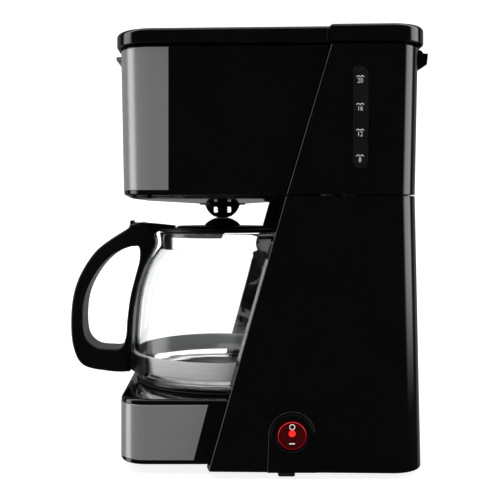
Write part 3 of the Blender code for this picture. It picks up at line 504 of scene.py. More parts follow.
def panel_edge(z):
    return by_height(z, EDGE_FOOT[0], EDGE_SEAM[0], EDGE_TOP[0])


def head_front(z):
    return between(z, SEAM_Z, HEAD_TOP_Z, HEAD_FRONT_FOOT, HEAD_FRONT_TOP)


GLASS_CURVE = [(p.x, p.y) for p in smooth_path([Vector(row) for row in GLASS], 5)]


def glass_radius(z):
    for (z0, r0), (z1, r1) in zip(GLASS_CURVE, GLASS_CURVE[1:]):
        if z <= z1:
            return between(z, z0, z1, r0, r1)
    return GLASS_CURVE[-1][1]


# ---- Rear body ----
def rear_wrap(z, ease=0.0):
    """Plan of the rear body: two sides and a back, with lips along the front and soft edges."""
    half, front, inner = rear_half(z) - ease, panel_edge(z) + ease, rear_half(z) - WALL
    cx, cy = rear_half(z) - REAR_RADIUS, rear_face(z) - REAR_RADIUS
    lip_back = panel_edge(z) + WALL + EDGE_SLANT / 2
    e, slant = EDGE_ROUND, front + EDGE_SLANT
    right = [(LIP_X, lip_back), (LIP_X, front + 0.3), (LIP_X + 0.3, front + 0.05)]
    right += arc(half - e, slant + e - 0.1, e, -74, 0, 8) + arc(cx, cy, REAR_RADIUS - ease, 0, 90)
    outline = right + [(-x, y) for x, y in right[::-1]] + [(-inner, lip_back)]
    outline += arc(-cx, cy, REAR_RADIUS - WALL, 180, 90) + arc(cx, cy, REAR_RADIUS - WALL, 90, 0)
    return level(outline + [(inner, lip_back)], z)


def gland_hole():
    r = GLAND_R + GAP
    return along_y([(r, 122.0), (r, 140.0)], GLAND_X, GLAND_Z, MIDDLE_ROUND)


def lower_housing():
    def foot(up, ease):
        ring = rear_wrap(EDGE_FOOT[1] + up, ease)
        return [(x, y, z - FOOT_FALL * (y - EDGE_FOOT[0])) for x, y, z in ring]

    rings = [foot(0.0, 0.9), foot(0.3, 0.3), foot(0.9, 0.0), rear_wrap(SEAM_Z - GAP - SEAM_EASE)]
    rings += [rear_wrap(SEAM_Z - GAP, SEAM_EASE)]
    shell = started("lower_housing", loft(rings))
    ends = [(SWITCH_Y + side * ARCH_FOOT_HALF, ARCH_FOOT_Z) for side in (1, -1)]
    arch = ends[:1] + arc(SWITCH_Y, SWITCH_Z, ARCH_R, 0, 180, 36) + ends[1:]

    def rim(depth, inset):
        """The arch's outline, drawn in by an inset, at a depth from the panel's outside."""
        ring = []
        for y, z in arch:
            share = (ARCH_R - inset) / ARCH_R
            low = z < SWITCH_Z - 1.0
            at = (SWITCH_Y + (y - SWITCH_Y) * share, z if low else SWITCH_Z + (z - SWITCH_Z) * share)
            ring.append((rear_half(z) + depth, *at))
        return ring

    rings = [rim(-WALL / 2, 0.0)]
    rings += [rim(ARCH_PROUD - ARCH_ROUND * down, ARCH_ROUND * inward) for inward, down in quarter(6)]
    add(shell, loft(rings))
    cut(shell, along_x([(SWITCH_HOLE_R, 78.0), (SWITCH_HOLE_R, 92.0)], SWITCH_Y, SWITCH_Z))
    cut(shell, gland_hole())
    fine(shell, "lower_housing")


def window_outline(inset):
    """The stadium slot of the level window, in (y, z)."""
    top = arc(WINDOW_Y, WINDOW_HIGH - WINDOW_R, WINDOW_R - inset, 0, 180, 24)
    return top + arc(WINDOW_Y, WINDOW_LOW + WINDOW_R, WINDOW_R - inset, 180, 360, 24)


def upper_housing():
    rings = [rear_wrap(SEAM_Z + GAP, SEAM_EASE), rear_wrap(SEAM_Z + GAP + SEAM_EASE)]
    rings += [rear_wrap(HEAD_TOP_Z - 0.8), rear_wrap(HEAD_TOP_Z - 0.2, 0.3), rear_wrap(HEAD_TOP_Z, 0.8)]
    shell = started("upper_housing", loft(rings))
    lug = [(132.6, 273.8), (134.8, 273.8), (142.0, 278.4), (142.7, 286.0), (139.4, 286.1)]
    lug += [(138.9, 286.9), (138.0, 288.0), (137.2, 288.4), (136.2, 288.5), (132.6, 288.4)]
    for side in (-1, 1):
        add(shell, slab(lug, side * LUG_X[0], side * LUG_X[1]), 0.4)
        hole = along_x([(HINGE_PIN_R + GAP, side * 40.0), (HINGE_PIN_R + GAP, side * 55.8)],
                       HINGE_Y, HINGE_Z, MIDDLE_ROUND)
        cut(shell, hole)
    cut(shell, slab(window_outline(0.0), 74.0, 90.0))
    fine(shell, "upper_housing")


def level_window():
    rings = []
    for depth, inset in ((2.3, GAP), (0.8, GAP), (0.6, GAP + 0.1), (0.5, GAP + 0.4)):
        rings.append([(rear_half(z) - depth, y, z) for y, z in window_outline(inset)])
    whole("level_window", loft(rings))
    for text, z in WINDOW_MARKS:
        numeral(text, MARK_Y, z)
        wave(text, MARK_Y, z + WAVE_LIFT)


def on_window(name, points, faces, y, z):
    """A thin print on the window's face from (across, up, proud) points."""
    placed = [(rear_half(z + v) - 0.5 + w, y + u, z + v) for u, v, w in points]
    mark = settle(mesh_object(name, (placed, faces)), 30)
    dress(mark, BODY_OF["level_window"], "white_plastic")
    # the print's finish carries a painted glow
    mark.data.materials[0] = MATERIALS["print_white_with_painted_glow"]


def numeral(text, y, z):
    """A printed number, centred across, with its feet at z."""
    curve = bpy.data.curves.new(f"numeral_{text}", "FONT")
    curve.body = text
    curve.size = NUMERAL_TALL * 1.42
    curve.align_x = "CENTER"
    curve.extrude = 0.03
    curve.offset = NUMERAL_THINNED
    holder = bpy.data.objects.new(curve.name, curve)
    mesh = bpy.data.meshes.new_from_object(holder)
    points = [(v.co.x * NUMERAL_NARROWED, v.co.y, v.co.z + 0.03) for v in mesh.vertices]
    faces = [tuple(face.vertices) for face in mesh.polygons]
    bpy.data.objects.remove(holder)
    on_window(f"mark_{text}", points, faces, y, z)


def wave(name, y, z):
    """The little water line over a number: a ribbon with two crests."""
    steps = 36
    rows = []
    for i in range(steps + 1):
        u = WAVE_WIDE * (i / steps - 0.5)
        v = -WAVE_SWING * math.cos(2 * math.pi * 2 * i / steps)
        across = ((-1, 0.0), (1, 0.0), (1, 0.06), (-1, 0.06))
        rows.append([(u, v + side * WAVE_STROKE, w) for side, w in across])
    points, faces = loft(rows)
    on_window(f"wave_{name}", points, faces, y, z)


def hinge_pins():
    for side, name in ((-1, "left"), (1, "right")):
        x0, x1, r = side * 31.5, side * 55.5, HINGE_PIN_R
        profile = [(r - 0.3, x0), (r, x0 + side * 0.3), (r, x1 - side * 0.3), (r - 0.3, x1)]
        node = f"lid_hinge_pin_{name}"
        whole(node, along_x(profile, HINGE_Y, HINGE_Z, SMALL_ROUND))


def bay_liner():
    def ring(z):
        front, inner = panel_edge(z) + 0.8, LINER_HALF - 2.0
        cx, cy = LINER_HALF - LINER_RADIUS, LINER_REAR - LINER_RADIUS
        outline = [(inner, front), (LINER_HALF, front)]
        outline += arc(cx, cy, LINER_RADIUS, 0, 90) + arc(-cx, cy, LINER_RADIUS, 90, 180)
        outline += [(-LINER_HALF, front), (-inner, front)]
        outline += arc(-cx, cy, LINER_RADIUS - 2, 180, 90) + arc(cx, cy, LINER_RADIUS - 2, 90, 0)
        return level(outline, z)

    whole("bay_liner", loft([ring(DECK_Z + 0.5), ring(LINER_TOP_Z)]))


# ---- Base ----
def base_plan(inset):
    return plan(BASE_HALF - inset, BASE_FRONT + inset, BASE_REAR - inset,
                BASE_RADIUS - inset, 14.0 - inset)


def base_housing():
    rings = [level(base_plan(WALL), DECK_Z - WALL), level(base_plan(WALL), BASE_FOOT_Z)]
    rings += [level(base_plan(0.8), BASE_FOOT_Z), level(base_plan(0.0), BASE_FOOT_Z + 1.0)]
    rings += [level(base_plan(2.2 * inward), DECK_Z - 2.2 * down) for inward, down in quarter(6)]
    base = started("base_housing", loft(rings))
    for x, y in SCREW_SPOTS.values():
        add(base, rod(4.4, COVER_Z[1] + 0.4, DECK_Z - 1.0, x, y))
        cut(base, rod(SCREW_HOLE_R, 4.0, 23.0, x, y))
    cut(base, block((-90.0, STEP_Y, 0.0), (90.0, 140.0, COVER_Z[1] + 0.4)))
    cut(base, rod(59.0, 40.0, 60.0, sides=ROUND))
    cut(base, block((-32.0, 70.0, 44.0), (32.0, 110.0, 60.0)))
    cut(base, block((70.0, 33.0, 15.0), (80.0, 58.6, 43.4)))
    cut(base, gland_hole())
    cut(base, trim_cutter(base_trim_plan, BASE_TRIM_Z))
    fine(base, "base_housing")


def bottom_cover():
    inset = WALL + 0.4
    half, rear_r = REAR_FOOT_HALF - inset - 0.2, REAR_RADIUS - inset
    front_half, front, front_r = BASE_HALF - inset, BASE_FRONT + inset, BASE_RADIUS - inset
    rear, step_y = REAR_FOOT_Y - inset - 0.2, STEP_Y + 0.5
    right = arc(front_half - front_r, front + front_r, front_r, -90, 0)
    right += [(front_half, step_y), (half, step_y)]
    right += arc(half - rear_r, rear - rear_r, rear_r, 0, 90)
    outline = right + [(-x, y) for x, y in right[::-1]]
    cover = started("bottom_cover", loft([level(outline, z) for z in COVER_Z]))
    for x, y in SCREW_SPOTS.values():
        cut(cover, rod(SCREW_HOLE_R, 3.0, 12.0, x, y))
    for i in range(5):
        y = 10.0 + 9.0 * i
        ends = arc(22.3, y + 1.75, 1.75, -90, 90, 10) + arc(-22.3, y + 1.75, 1.75, 90, 270, 10)
        cut(cover, loft([level(ends, 3.0), level(ends, 12.0)]))
    fine(cover, "bottom_cover")


def cross_recess(screw, x, y, low, high, reach=1.7, arm=0.42):
    """A crosshead driver's slot in a screw's head."""
    for a, b in ((reach, arm), (arm, reach)):
        cut(screw, block((x - a, y - b, low), (x + a, y + b, high)))


def screws():
    for name, (x, y) in SCREW_SPOTS.items():
        under = COVER_Z[0] - GAP
        profile = [(2.6, under - 1.8), (3.1, under - 1.65), (3.4, under - 1.2), (3.5, under - 0.8)]
        profile += [(3.5, under)] + thread(1.5, 1.2, under, under + 14.0)
        screw = started(f"base_screw_{name}", turned(profile, SMALL_ROUND, x, y))
        cross_recess(screw, x, y, under - 3.0, under - 0.6)
        fine(screw, f"base_screw_{name}")


def thread(crest, root, low, high, pitch=1.0):
    """A threaded shank as stacked ridges, from its head upwards."""
    profile = [(crest - 0.1, low)]
    for i in range(int((high - low) / pitch) - 1):
        z = low + pitch * i
        profile += [(root, z + 0.4), (crest, z + 0.9)]
    return profile + [(root, high)]


def feet():
    for name, (x, y) in FOOT_SPOTS.items():
        rings = []
        for half, z in ((5.3, 0.0), (5.45, 0.08), (5.55, 0.25), (5.6, 0.5), (5.6, COVER_Z[0] - GAP)):
            rings.append([(x + u, y + v, z) for u, v in plan(half, -half, half, 1.2, 1.2)])
        foot = started(f"foot_{name}", loft(rings))
        cut(foot, turned([(2.2, -1.0), (2.2, 0.5), (1.6, 0.9)], SMALL_ROUND, x, y))
        fine(foot, f"foot_{name}")


# ---- Steel wraps round the front ----
def base_trim_plan(z):
    return BASE_HALF, BASE_FRONT, BASE_RADIUS, between(z, *BASE_TRIM_Z, -19.4, -9.7)


def head_trim_plan(z):
    return HEAD_HALF, head_front(z), HEAD_RADIUS, -36.3


def wrap_ring(outline, z, outside, inside, longer=0.0):
    """A strip round the front of a plan, from one offset of it to another."""
    half, front, r, end = outline(z)
    end += longer

    def path(out):
        right = arc(half - r, front + r, r + out, 0, -90)
        left = arc(r - half, front + r, r + out, 270, 180)
        return [(half + out, end)] + right + left + [(-half - out, end)]

    return level(path(outside) + path(inside)[::-1], z)


def trim_shape(outline, span):
    """The wrap, its two long edges turned in a little."""
    low, high = span
    rows = ((low, -0.25), (low + 0.25, 0.0), (high - 0.25, 0.0), (high, -0.25))
    inside = TRIM_PROUD - TRIM_THICK
    return loft([wrap_ring(outline, z, TRIM_PROUD + ease, inside) for z, ease in rows])


def trim_cutter(outline, span):
    depth = TRIM_PROUD - TRIM_THICK - GAP
    return loft([wrap_ring(outline, z, 6.0, depth, GAP) for z in (span[0] - GAP, span[1] + GAP)])


def trims():
    whole("base_trim", trim_shape(base_trim_plan, BASE_TRIM_Z))
    trim = started("brew_head_trim", trim_shape(head_trim_plan, HEAD_TRIM_Z))
    face = HEAD_FRONT_TOP
    nub = [(face, 286.8), (face - 4.8, 286.8), (face - 5.4, 286.4), (face - 5.5, 285.6),
           (face - 5.2, 284.2), (face - 4.2, 282.8), (face - 2.4, 281.6), (face, 280.4)]
    add(trim, slab(nub, -40.0, 40.0))
    cut(trim, slab([(face - 0.4, 288.0), (face - 4.2, 288.0), (face - 4.2, 285.6), (face - 0.4, 284.6)],
                   -38.8, 38.8))
    fine(trim, "brew_head_trim")


# ---- Brew head ----
def head_ring(z, inset, along=5):
    outline = plan(HEAD_HALF - inset, head_front(z) + inset, HEAD_REAR - inset,
                   HEAD_RADIUS - inset, 8.0 - inset, along)
    return level(outline, z)


def outlet_ring(z, r):
    """A circle with a point at the bearing of each point of the head's plan."""
    bearings = [math.atan2(y, x) for x, y, _ in head_ring(z, 0.0)]
    return [(r * math.cos(a), r * math.sin(a), z) for a in bearings]


def brew_head_housing():
    rings = [outlet_ring(OUTLET_Z, OUTLET_R)]
    foot = ((185.0, 7.6), (185.2, 6.2), (185.6, 4.8), (186.2, 3.6), (186.8, 2.7), (187.0, 2.3),
            (187.25, 1.5), (187.8, 0.5), (188.6, 0.0))
    top = ((HEAD_TOP_Z - 0.5, 0.0), (HEAD_TOP_Z, 0.5), (HEAD_TOP_Z, WALL), (190.8, WALL))
    rings += [head_ring(z, inset) for z, inset in foot + top]
    rings += [outlet_ring(OUTLET_Z + WALL, OUTLET_R)]
    head = started("brew_head_housing", loft(rings, closed=True))
    cut(head, trim_cutter(head_trim_plan, HEAD_TRIM_Z))
    for side in (-1, 1):
        low, high = sorted((side * (HEAD_HALF - 2.2), side * HEAD_HALF))
        add(head, block((low, 52.0, 222.0), (high, 77.0, HEAD_TOP_Z)))
    cut(head, block((HOSE_X - 13.0, 60.0, 266.0), (HOSE_X + 6.0, 70.0, 292.0)))
    fine(head, "brew_head_housing")


def filter_basket():
    """The basket with its rolled rim and the ribs that hold the filter off its wall."""
    profile = [(6.0, 185.7), (17.4, 185.7), (45.0, 189.6), (47.6, 191.8), (49.0, 196.0), (60.0, 261.0)]
    profile += [(61.0, 261.6), (62.6, 261.6), (63.0, 262.0), (63.0, 263.2), (62.6, 263.6), (58.6, 263.6)]
    profile += [(58.2, 263.2), (47.2, 197.0), (45.8, 193.6), (43.4, 191.6), (20.0, 188.3), (6.0, 187.9)]
    basket = started("filter_basket", turned(profile, closed=True))
    for i in range(16):
        a = math.radians(22.5 * i + 11.25)
        out, side = Vector((math.cos(a), math.sin(a))), Vector((-math.sin(a), math.cos(a))) * 0.6
        rows = []
        for z, r0, r1 in ((198.0, 46.0, 48.0), (256.0, 55.6, 58.2)):
            rows.append(level([out * r0 - side, out * r1 - side, out * r1 + side, out * r0 + side], z))
        add(basket, loft(rows))
    fine(basket, "filter_basket")


def water_spreader():
    """The shower pan over the basket, with its drip holes, and the channel that feeds it."""
    arm_z = (269.5, 276.5)
    pan = [(20.0, 272.0), (22.0, 267.9), (22.4, 267.5), (23.6, 267.5), (24.0, 267.9), (24.0, 276.1),
           (23.6, 276.5), (0.6, 276.5), (0.6, 272.0)]
    spreader = started("water_spreader", turned(pan[::-1], ROUND))
    ends = [Vector((3.0, 16.0)), Vector((HOSE_X, HOSE_Y))]
    side = (ends[1] - ends[0]).orthogonal().normalized() * 5.5
    corners = [ends[0] + side, ends[0] - side, ends[1] - side, ends[1] + side]
    add(spreader, loft([level(corners, z) for z in arm_z]), 0.9)
    add(spreader, rod(3.5, 255.0, 271.0, HOSE_X, HOSE_Y))
    for i in range(10):
        a = math.radians(36 * i)
        cut(spreader, rod(1.1, 270.0, 274.0, 12.0 * math.cos(a), 12.0 * math.sin(a), 12))
    fine(spreader, "water_spreader")


# ---- Drip stop ----
def drip_stop_cage():
    outer = [(17.4, 183.4), (17.4, 181.6), (17.2, 181.4), (13.5, 181.3), (13.2, 181.0), (12.9, 180.4),
             (12.45, 179.2), (11.8, 177.8), (11.0, 176.6), (10.1, 175.5), (9.2, 174.6), (8.2, 173.75),
             (7.2, 173.0), (6.3, 172.4), (5.9, 172.3)]
    inner = [(5.2, 172.3), (5.2, 173.4), (8.4, 175.8), (10.4, 178.6), (11.4, 183.4)]
    cage = started("drip_stop_cage", turned(outer + inner, ROUND, closed=True))
    for near, far in ((3.5, 6.6), (-6.6, -3.5)):
        cut(cage, block((-16.0, near, 175.5), (16.0, far, 179.9)), 0.8)
        cut(cage, block((near, -16.0, 175.5), (far, 16.0, 179.9)), 0.8)
    bridge = [(11.8, -1.3), (11.8, 1.3), (-11.8, 1.3), (-11.8, -1.3)]
    add(cage, loft([level(bridge, 182.4), level(bridge, 185.2)]))
    add(cage, rod(5.4, 183.6, 185.2, sides=MIDDLE_ROUND))
    cut(cage, rod(2.6, 181.0, 187.0, sides=MIDDLE_ROUND))
    fine(cage, "drip_stop_cage")


def drip_stop_inside():
    foot = STOP_FOOT_Z
    base = ((0.6, -0.2), (4.4, -0.2), (4.5, -0.1), (4.55, 0.5), (4.6, 1.4), (4.6, 3.6), (4.4, 3.8),
            (2.1, 3.8))
    profile = [(r, foot + up) for r, up in base]
    profile += [(2.1, 190.6), (4.6, 190.8), (4.6, 192.0), (0.6, 192.4)]
    whole("drip_stop_plunger", turned(profile, MIDDLE_ROUND))
    seal = [(2.5, 188.8), (8.4, 188.8), (8.8, 189.2), (8.8, 189.8), (8.2, 190.4), (2.5, 190.4)]
    whole("drip_stop_seal", turned(seal, MIDDLE_ROUND, closed=True))
    low, high, coil_r, wire_r, turns, steps = foot + 4.7, 181.6, 3.9, 0.45, 3.0, 40
    count = int(turns * steps)
    path = []
    for i in range(count + 1):
        a = 2 * math.pi * i / steps
        path.append(Vector((coil_r * math.cos(a), coil_r * math.sin(a), low + (high - low) * i / count)))
    spring = whole("drip_stop_spring", sweep(path, wire_r, 12))
    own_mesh(spring)


# ---- Lid ----
def lid_plan(inset):
    front_half, half, step_y = LID_FRONT_HALF - inset, LID_REAR_HALF - inset, 70.0 + inset
    front_r, rear_r = 26.0 - inset, 25.0 - inset
    front, rear = LID_FRONT + inset, LID_REAR - inset
    step = [(front_half, step_y - 0.4), (front_half + 0.1, step_y), (front_half + 0.5, step_y + 0.25),
            (half - 0.8, step_y + 0.85), (half - 0.2, step_y + 1.15), (half, step_y + 1.7)]
    right = arc(front_half - front_r, front + front_r, front_r, -90, 0) + step
    right += arc(half - rear_r, rear - rear_r, rear_r, 0, 90)
    return right + [(-x, y) for x, y in right[::-1]]


def top_lid():
    def ring(inset, down):
        return [(x, y, LID_TOP_Z - down + LID_RISE * y) for x, y in lid_plan(inset)]

    rings = [ring(3.0, 2.4), level(lid_plan(2.6), LID_FOOT_Z), level(lid_plan(0.9), LID_FOOT_Z)]
    rings += [level(lid_plan(0.3), LID_FOOT_Z + 0.3), level(lid_plan(0.0), LID_FOOT_Z + 0.9)]
    rings += [ring(3.0 * inward, 2.8 * down) for inward, down in quarter(8)]
    lid = started("top_lid", loft(rings))
    knuckle = [(134.6, 291.4), (137.0, 291.4), (140.6, 287.0)]
    knuckle += arc(HINGE_Y, HINGE_Z, 3.8, 40, -180, 28)
    for side in (-1, 1):
        add(lid, slab(knuckle, side * 31.0, side * (LUG_X[0] - 0.6)))
        cut(lid, along_x([(HINGE_PIN_R + GAP, side * 28.0), (HINGE_PIN_R + GAP, side * 46.0)],
                         HINGE_Y, HINGE_Z, MIDDLE_ROUND))
    fine(lid, "top_lid")
    rings = [level(lid_plan(3.7), 290.4), level(lid_plan(3.1), 290.9), level(lid_plan(3.1), 292.0)]
    whole("lid_liner", loft(rings))


# ---- Water tank and warming plate ----
def water_tank():
    def ring(z, inset):
        return level(plan(TANK_HALF - inset, TANK_FRONT + inset, TANK_REAR - inset,
                          6.0 - inset, 19.0 - inset), z)

    rings = [ring(TANK_FOOT_Z, 1.6), ring(TANK_FOOT_Z + 0.5, 0.5), ring(TANK_FOOT_Z + 1.6, 0.0)]
    rings += [ring(TANK_TOP_Z - 0.4, 0.0), ring(TANK_TOP_Z, 0.4), ring(TANK_TOP_Z, 1.6)]
    rings += [ring(TANK_TOP_Z - 0.4, 2.0), ring(TANK_FOOT_Z + 2.0, 2.0)]
    tank = started("water_tank", loft(rings))
    add(tank, rod(4.8, 179.2, TANK_FOOT_Z + 1.0, -HOSE_X, VALVE_Y))
    cut(tank, rod(3.0, 177.0, TANK_FOOT_Z + 4.0, -HOSE_X, VALVE_Y))
    fine(tank, "water_tank")


def warming_plate():
    """The coated plate with its rounded rim and a groove round its well."""
    top = PLATE_TOP_Z
    profile = [(0.6, 52.0), (57.0, 52.0), (63.2, 52.0), (63.7, 52.4), (63.8, 52.9), (63.6, 53.4)]
    profile += [(63.0, top), (57.6, top), (57.0, top - 0.2), (56.2, top - 0.9), (53.4, top - 0.9)]
    profile += [(52.6, top - 0.2), (52.0, top), (0.6, top)]
    whole("warming_plate", turned(profile, PLATE_ROUND), 50)
    seal = [(59.6, 50.8), (64.6, 50.8), (65.0, 51.0), (65.0, 51.3), (64.4, 51.7), (59.6, 51.7)]
    whole("plate_seal", turned(seal, PLATE_ROUND, closed=True), 50)


# ---- Switch and gland ----
def switch():
    bezel = [(10.6, 80.6), (12.0, 80.6), (12.0, 86.9), (13.8, 86.9), (13.8, 87.0), (13.75, 87.1)]
    bezel += [(13.6, 87.15), (12.0, 87.05), (11.0, 86.98), (10.7, 86.9), (10.6, 86.7)]
    whole("switch_bezel", along_x(bezel, SWITCH_Y, SWITCH_Z, closed=True), 50)
    face = [(0.6, -2.4), (8.4, -2.4), (9.3, -1.8), (9.6, -0.6), (9.7, 0.4), (9.6, 1.4), (9.3, 2.2)]
    face += [(8.9, 2.5), (8.3, 2.45), (8.0, 2.1), (6.0, 1.9), (3.0, 1.75), (0.6, 1.7)]
    whole("switch_rocker", tilted(along_x(face, 0.0, 0.0)), 50)
    glow = [(8.7, 1.9), (8.7, 2.42), (8.95, 2.46), (9.35, 2.22), (9.5, 1.8), (9.4, 1.2), (8.9, 1.2)]
    on_rocker("rocker_rim", along_x(glow, 0.0, 0.0, ROUND, closed=True), "lit_red")
    lamp = [(0.3, 1.7), (2.2, 1.7), (2.2, 1.95), (1.9, 2.15), (1.2, 2.3), (0.3, 2.32)]
    on_rocker("rocker_lamp", along_x(lamp, 0.0, 1.4, MIDDLE_ROUND), "lamp_red")
    off = [(1.55, 2.0), (1.9, 2.0), (1.9, 2.42), (1.55, 2.42)]
    # the signs take the white print's finish, with its painted glow
    on_rocker("rocker_off_sign", along_x(off, 0.0, 6.1, MIDDLE_ROUND, closed=True), "print_white_with_painted_glow")
    dash = arc(1.6, -5.5, 0.33, -90, 90, 6) + arc(-1.6, -5.5, 0.33, 90, 270, 6)
    on_rocker("rocker_on_sign", slab(dash, 1.7, 2.02), "print_white_with_painted_glow")


def tilted(shape):
    """A shape about the rocker's centre, tipped as it rests and put in its place."""
    c, s = math.cos(ROCKER_TILT), math.sin(ROCKER_TILT)
    points = [(x * c + z * s, y, z * c - x * s) for x, y, z in shape[0]]
    return [(x + ROCKER_X, y + SWITCH_Y, z + SWITCH_Z) for x, y, z in points], shape[1]


def on_rocker(name, shape, look):
    sign = settle(mesh_object(name, tilted(shape)), 50)
    dress(sign, BODY_OF["switch_rocker"], "red_plastic" if "red" in look else "white_plastic")
    sign.data.materials[0] = MATERIALS[look]


def cord_gland():
    gland = [(CORD_HOLE_R, 124.0), (GLAND_R, 124.0), (GLAND_R, 135.4), (10.0, 135.4), (10.2, 135.7)]
    gland += [(10.1, 136.6), (9.6, 137.2), (8.8, 137.4), (CORD_HOLE_R + 0.5, 137.4), (CORD_HOLE_R, 137.0)]
    whole("cord_gland", along_y(gland, GLAND_X, GLAND_Z, MIDDLE_ROUND, closed=True))


# ---- Carafe ----
def carafe_glass():
    turns = [2 * math.pi * i / CARAFE_ROUND for i in range(CARAFE_ROUND)]
    spout = [math.exp(-((a - math.pi / 2) / 0.28) ** 2) for a in turns]
    rim_z = GLASS[-1][0]

    def ring(z, inset, at=None):
        lip = SPOUT_REACH * max(0.0, (z - SPOUT_Z) / (rim_z - SPOUT_Z)) ** 1.5
        radii = [glass_radius(z) - inset + lip * share for share in spout]
        return [(r * math.cos(a), r * math.sin(a), at or z) for r, a in zip(radii, turns)]

    heights = [z for z, _ in GLASS_CURVE]
    foot = heights[0]
    bottom = ring(foot, 0.0)
    rings = [[(x * s, y * s, foot + up) for x, y, _ in bottom] for s, up in ((0.5, 1.0), (0.9, 0.5))]
    rings += [ring(z, 0.0) for z in heights[:-1]]
    rings += [ring(rim_z, inset, rim_z - down) for inset, down in ((0.0, 0.6), (0.3, 0.15), (1.0, 0.0))]
    rings += [ring(rim_z, inset, rim_z - down) for inset, down in ((1.7, 0.15), (2.0, 0.6))]
    rings += [ring(z, GLASS_WALL) for z in heights[-2::-1] if z > 60.0]
    for share, up in ((0.985, 3.6), (0.95, 2.7), (0.88, 2.2), (0.5, 2.2)):
        rings.append([(x * share, y * share, foot + up) for x, y, _ in ring(60.0, GLASS_WALL)])
    whole("carafe_glass", loft(rings), 60)


def carafe_band():
    """The steel band, with a rolled bead along each of its edges."""
    heights = [BAND_FOOT_Z + BAND_TALL * i / 12 for i in range(13)]
    proud = [0.55, 0.9] + [0.72] * 9 + [0.9, 0.55]
    outer = [(glass_radius(z) + out, z) for z, out in zip(heights, proud)]
    inner = [(glass_radius(z) + GAP, z) for z in heights[::-1]]
    band = whole("carafe_band", turned(outer + inner, CARAFE_ROUND, closed=True), 60)
    band.data.materials[0] = MATERIALS["band_steel"]


HANDLE_OUTSIDE = (
    (-57.0, 166.9), (-68.6, 166.8), (-71.2, 163.6), (-84.0, 155.4), (-95.2, 146.3), (-104.8, 132.4),
    (-111.1, 116.6), (-113.5, 97.0), (-112.1, 76.0), (-104.6, 61.4), (-86.0, 56.8),
    (-71.4, 56.3), (-68.9, 59.0), (-67.9, 80.0), (-65.6, 106.0), (-59.5, 131.0), (-50.2, 152.0),
)
HANDLE_INSIDE = (
    (-62.5, 149.4), (-66.2, 150.1), (-70.0, 149.6), (-80.0, 145.4), (-90.0, 136.6), (-98.4, 124.0),
    (-103.2, 111.0), (-104.6, 95.0), (-102.6, 82.0), (-95.4, 75.0), (-85.0, 73.5),
    (-76.4, 74.2), (-72.5, 82.0), (-71.4, 95.0), (-69.2, 112.0), (-65.5, 127.0), (-62.2, 140.0),
)


def carafe_handle():
    outside, inside = closed_spline(HANDLE_OUTSIDE, 8), closed_spline(HANDLE_INSIDE, 8)
    edge = [(HANDLE_HALF - 2.4 * inward, 1.6 * down) for inward, down in quarter(6)]
    edge = [(-x, inset) for x, inset in edge] + [(x, inset) for x, inset in edge[::-1]]
    rings = [[(x, *p) for p in offset(outside, inset)] for x, inset in edge]
    rings += [[(x, *p) for p in offset(inside, -inset * 0.6)] for x, inset in edge[::-1]]
    handle = started("carafe_handle", loft(rings, closed=True))
    saddle = []
    for i in range(41):
        a = math.radians(-90 - 39 + 78 * i / 40)
        section = [(67.9, 59.6), (69.6, 59.0), (70.3, 59.4), (70.6, 60.2), (70.6, 70.8), (70.3, 71.8),
                   (69.6, 72.2), (67.9, 71.8)]
        saddle.append([(r * math.cos(a), r * math.sin(a), z) for r, z in section])
    add(handle, loft(saddle))
    cut(handle, block((-7.8, -63.4, 156.6), (7.8, -44.0, 172.0)))
    cut(handle, block((-7.8, -73.0, 165.8), (7.8, -60.0, 172.0)))
    cut(handle, lid_pin_hole(13.0))
    hole = [(3.4, 54.0), (3.4, 60.6), (1.8, 60.6), (1.8, 69.4)]
    cut(handle, turned(hole, SMALL_ROUND, 0.0, HANDLE_SCREW_Y))
    fine(handle, "carafe_handle", 40)
    profile = [(2.6, 58.4), (3.0, 58.7), (3.0, 60.2)] + thread(1.5, 1.2, 60.2, 68.6)
    screw = started("handle_screw", turned(profile, SMALL_ROUND, 0.0, HANDLE_SCREW_Y))
    cross_recess(screw, 0.0, HANDLE_SCREW_Y, 56.0, 59.4)
    fine(screw, "handle_screw")


def lid_pin_hole(reach):
    r = LID_PIN_HOLE_R
    return along_x([(r, -reach), (r, reach)], LID_PIN_Y, LID_PIN_Z, SMALL_ROUND)


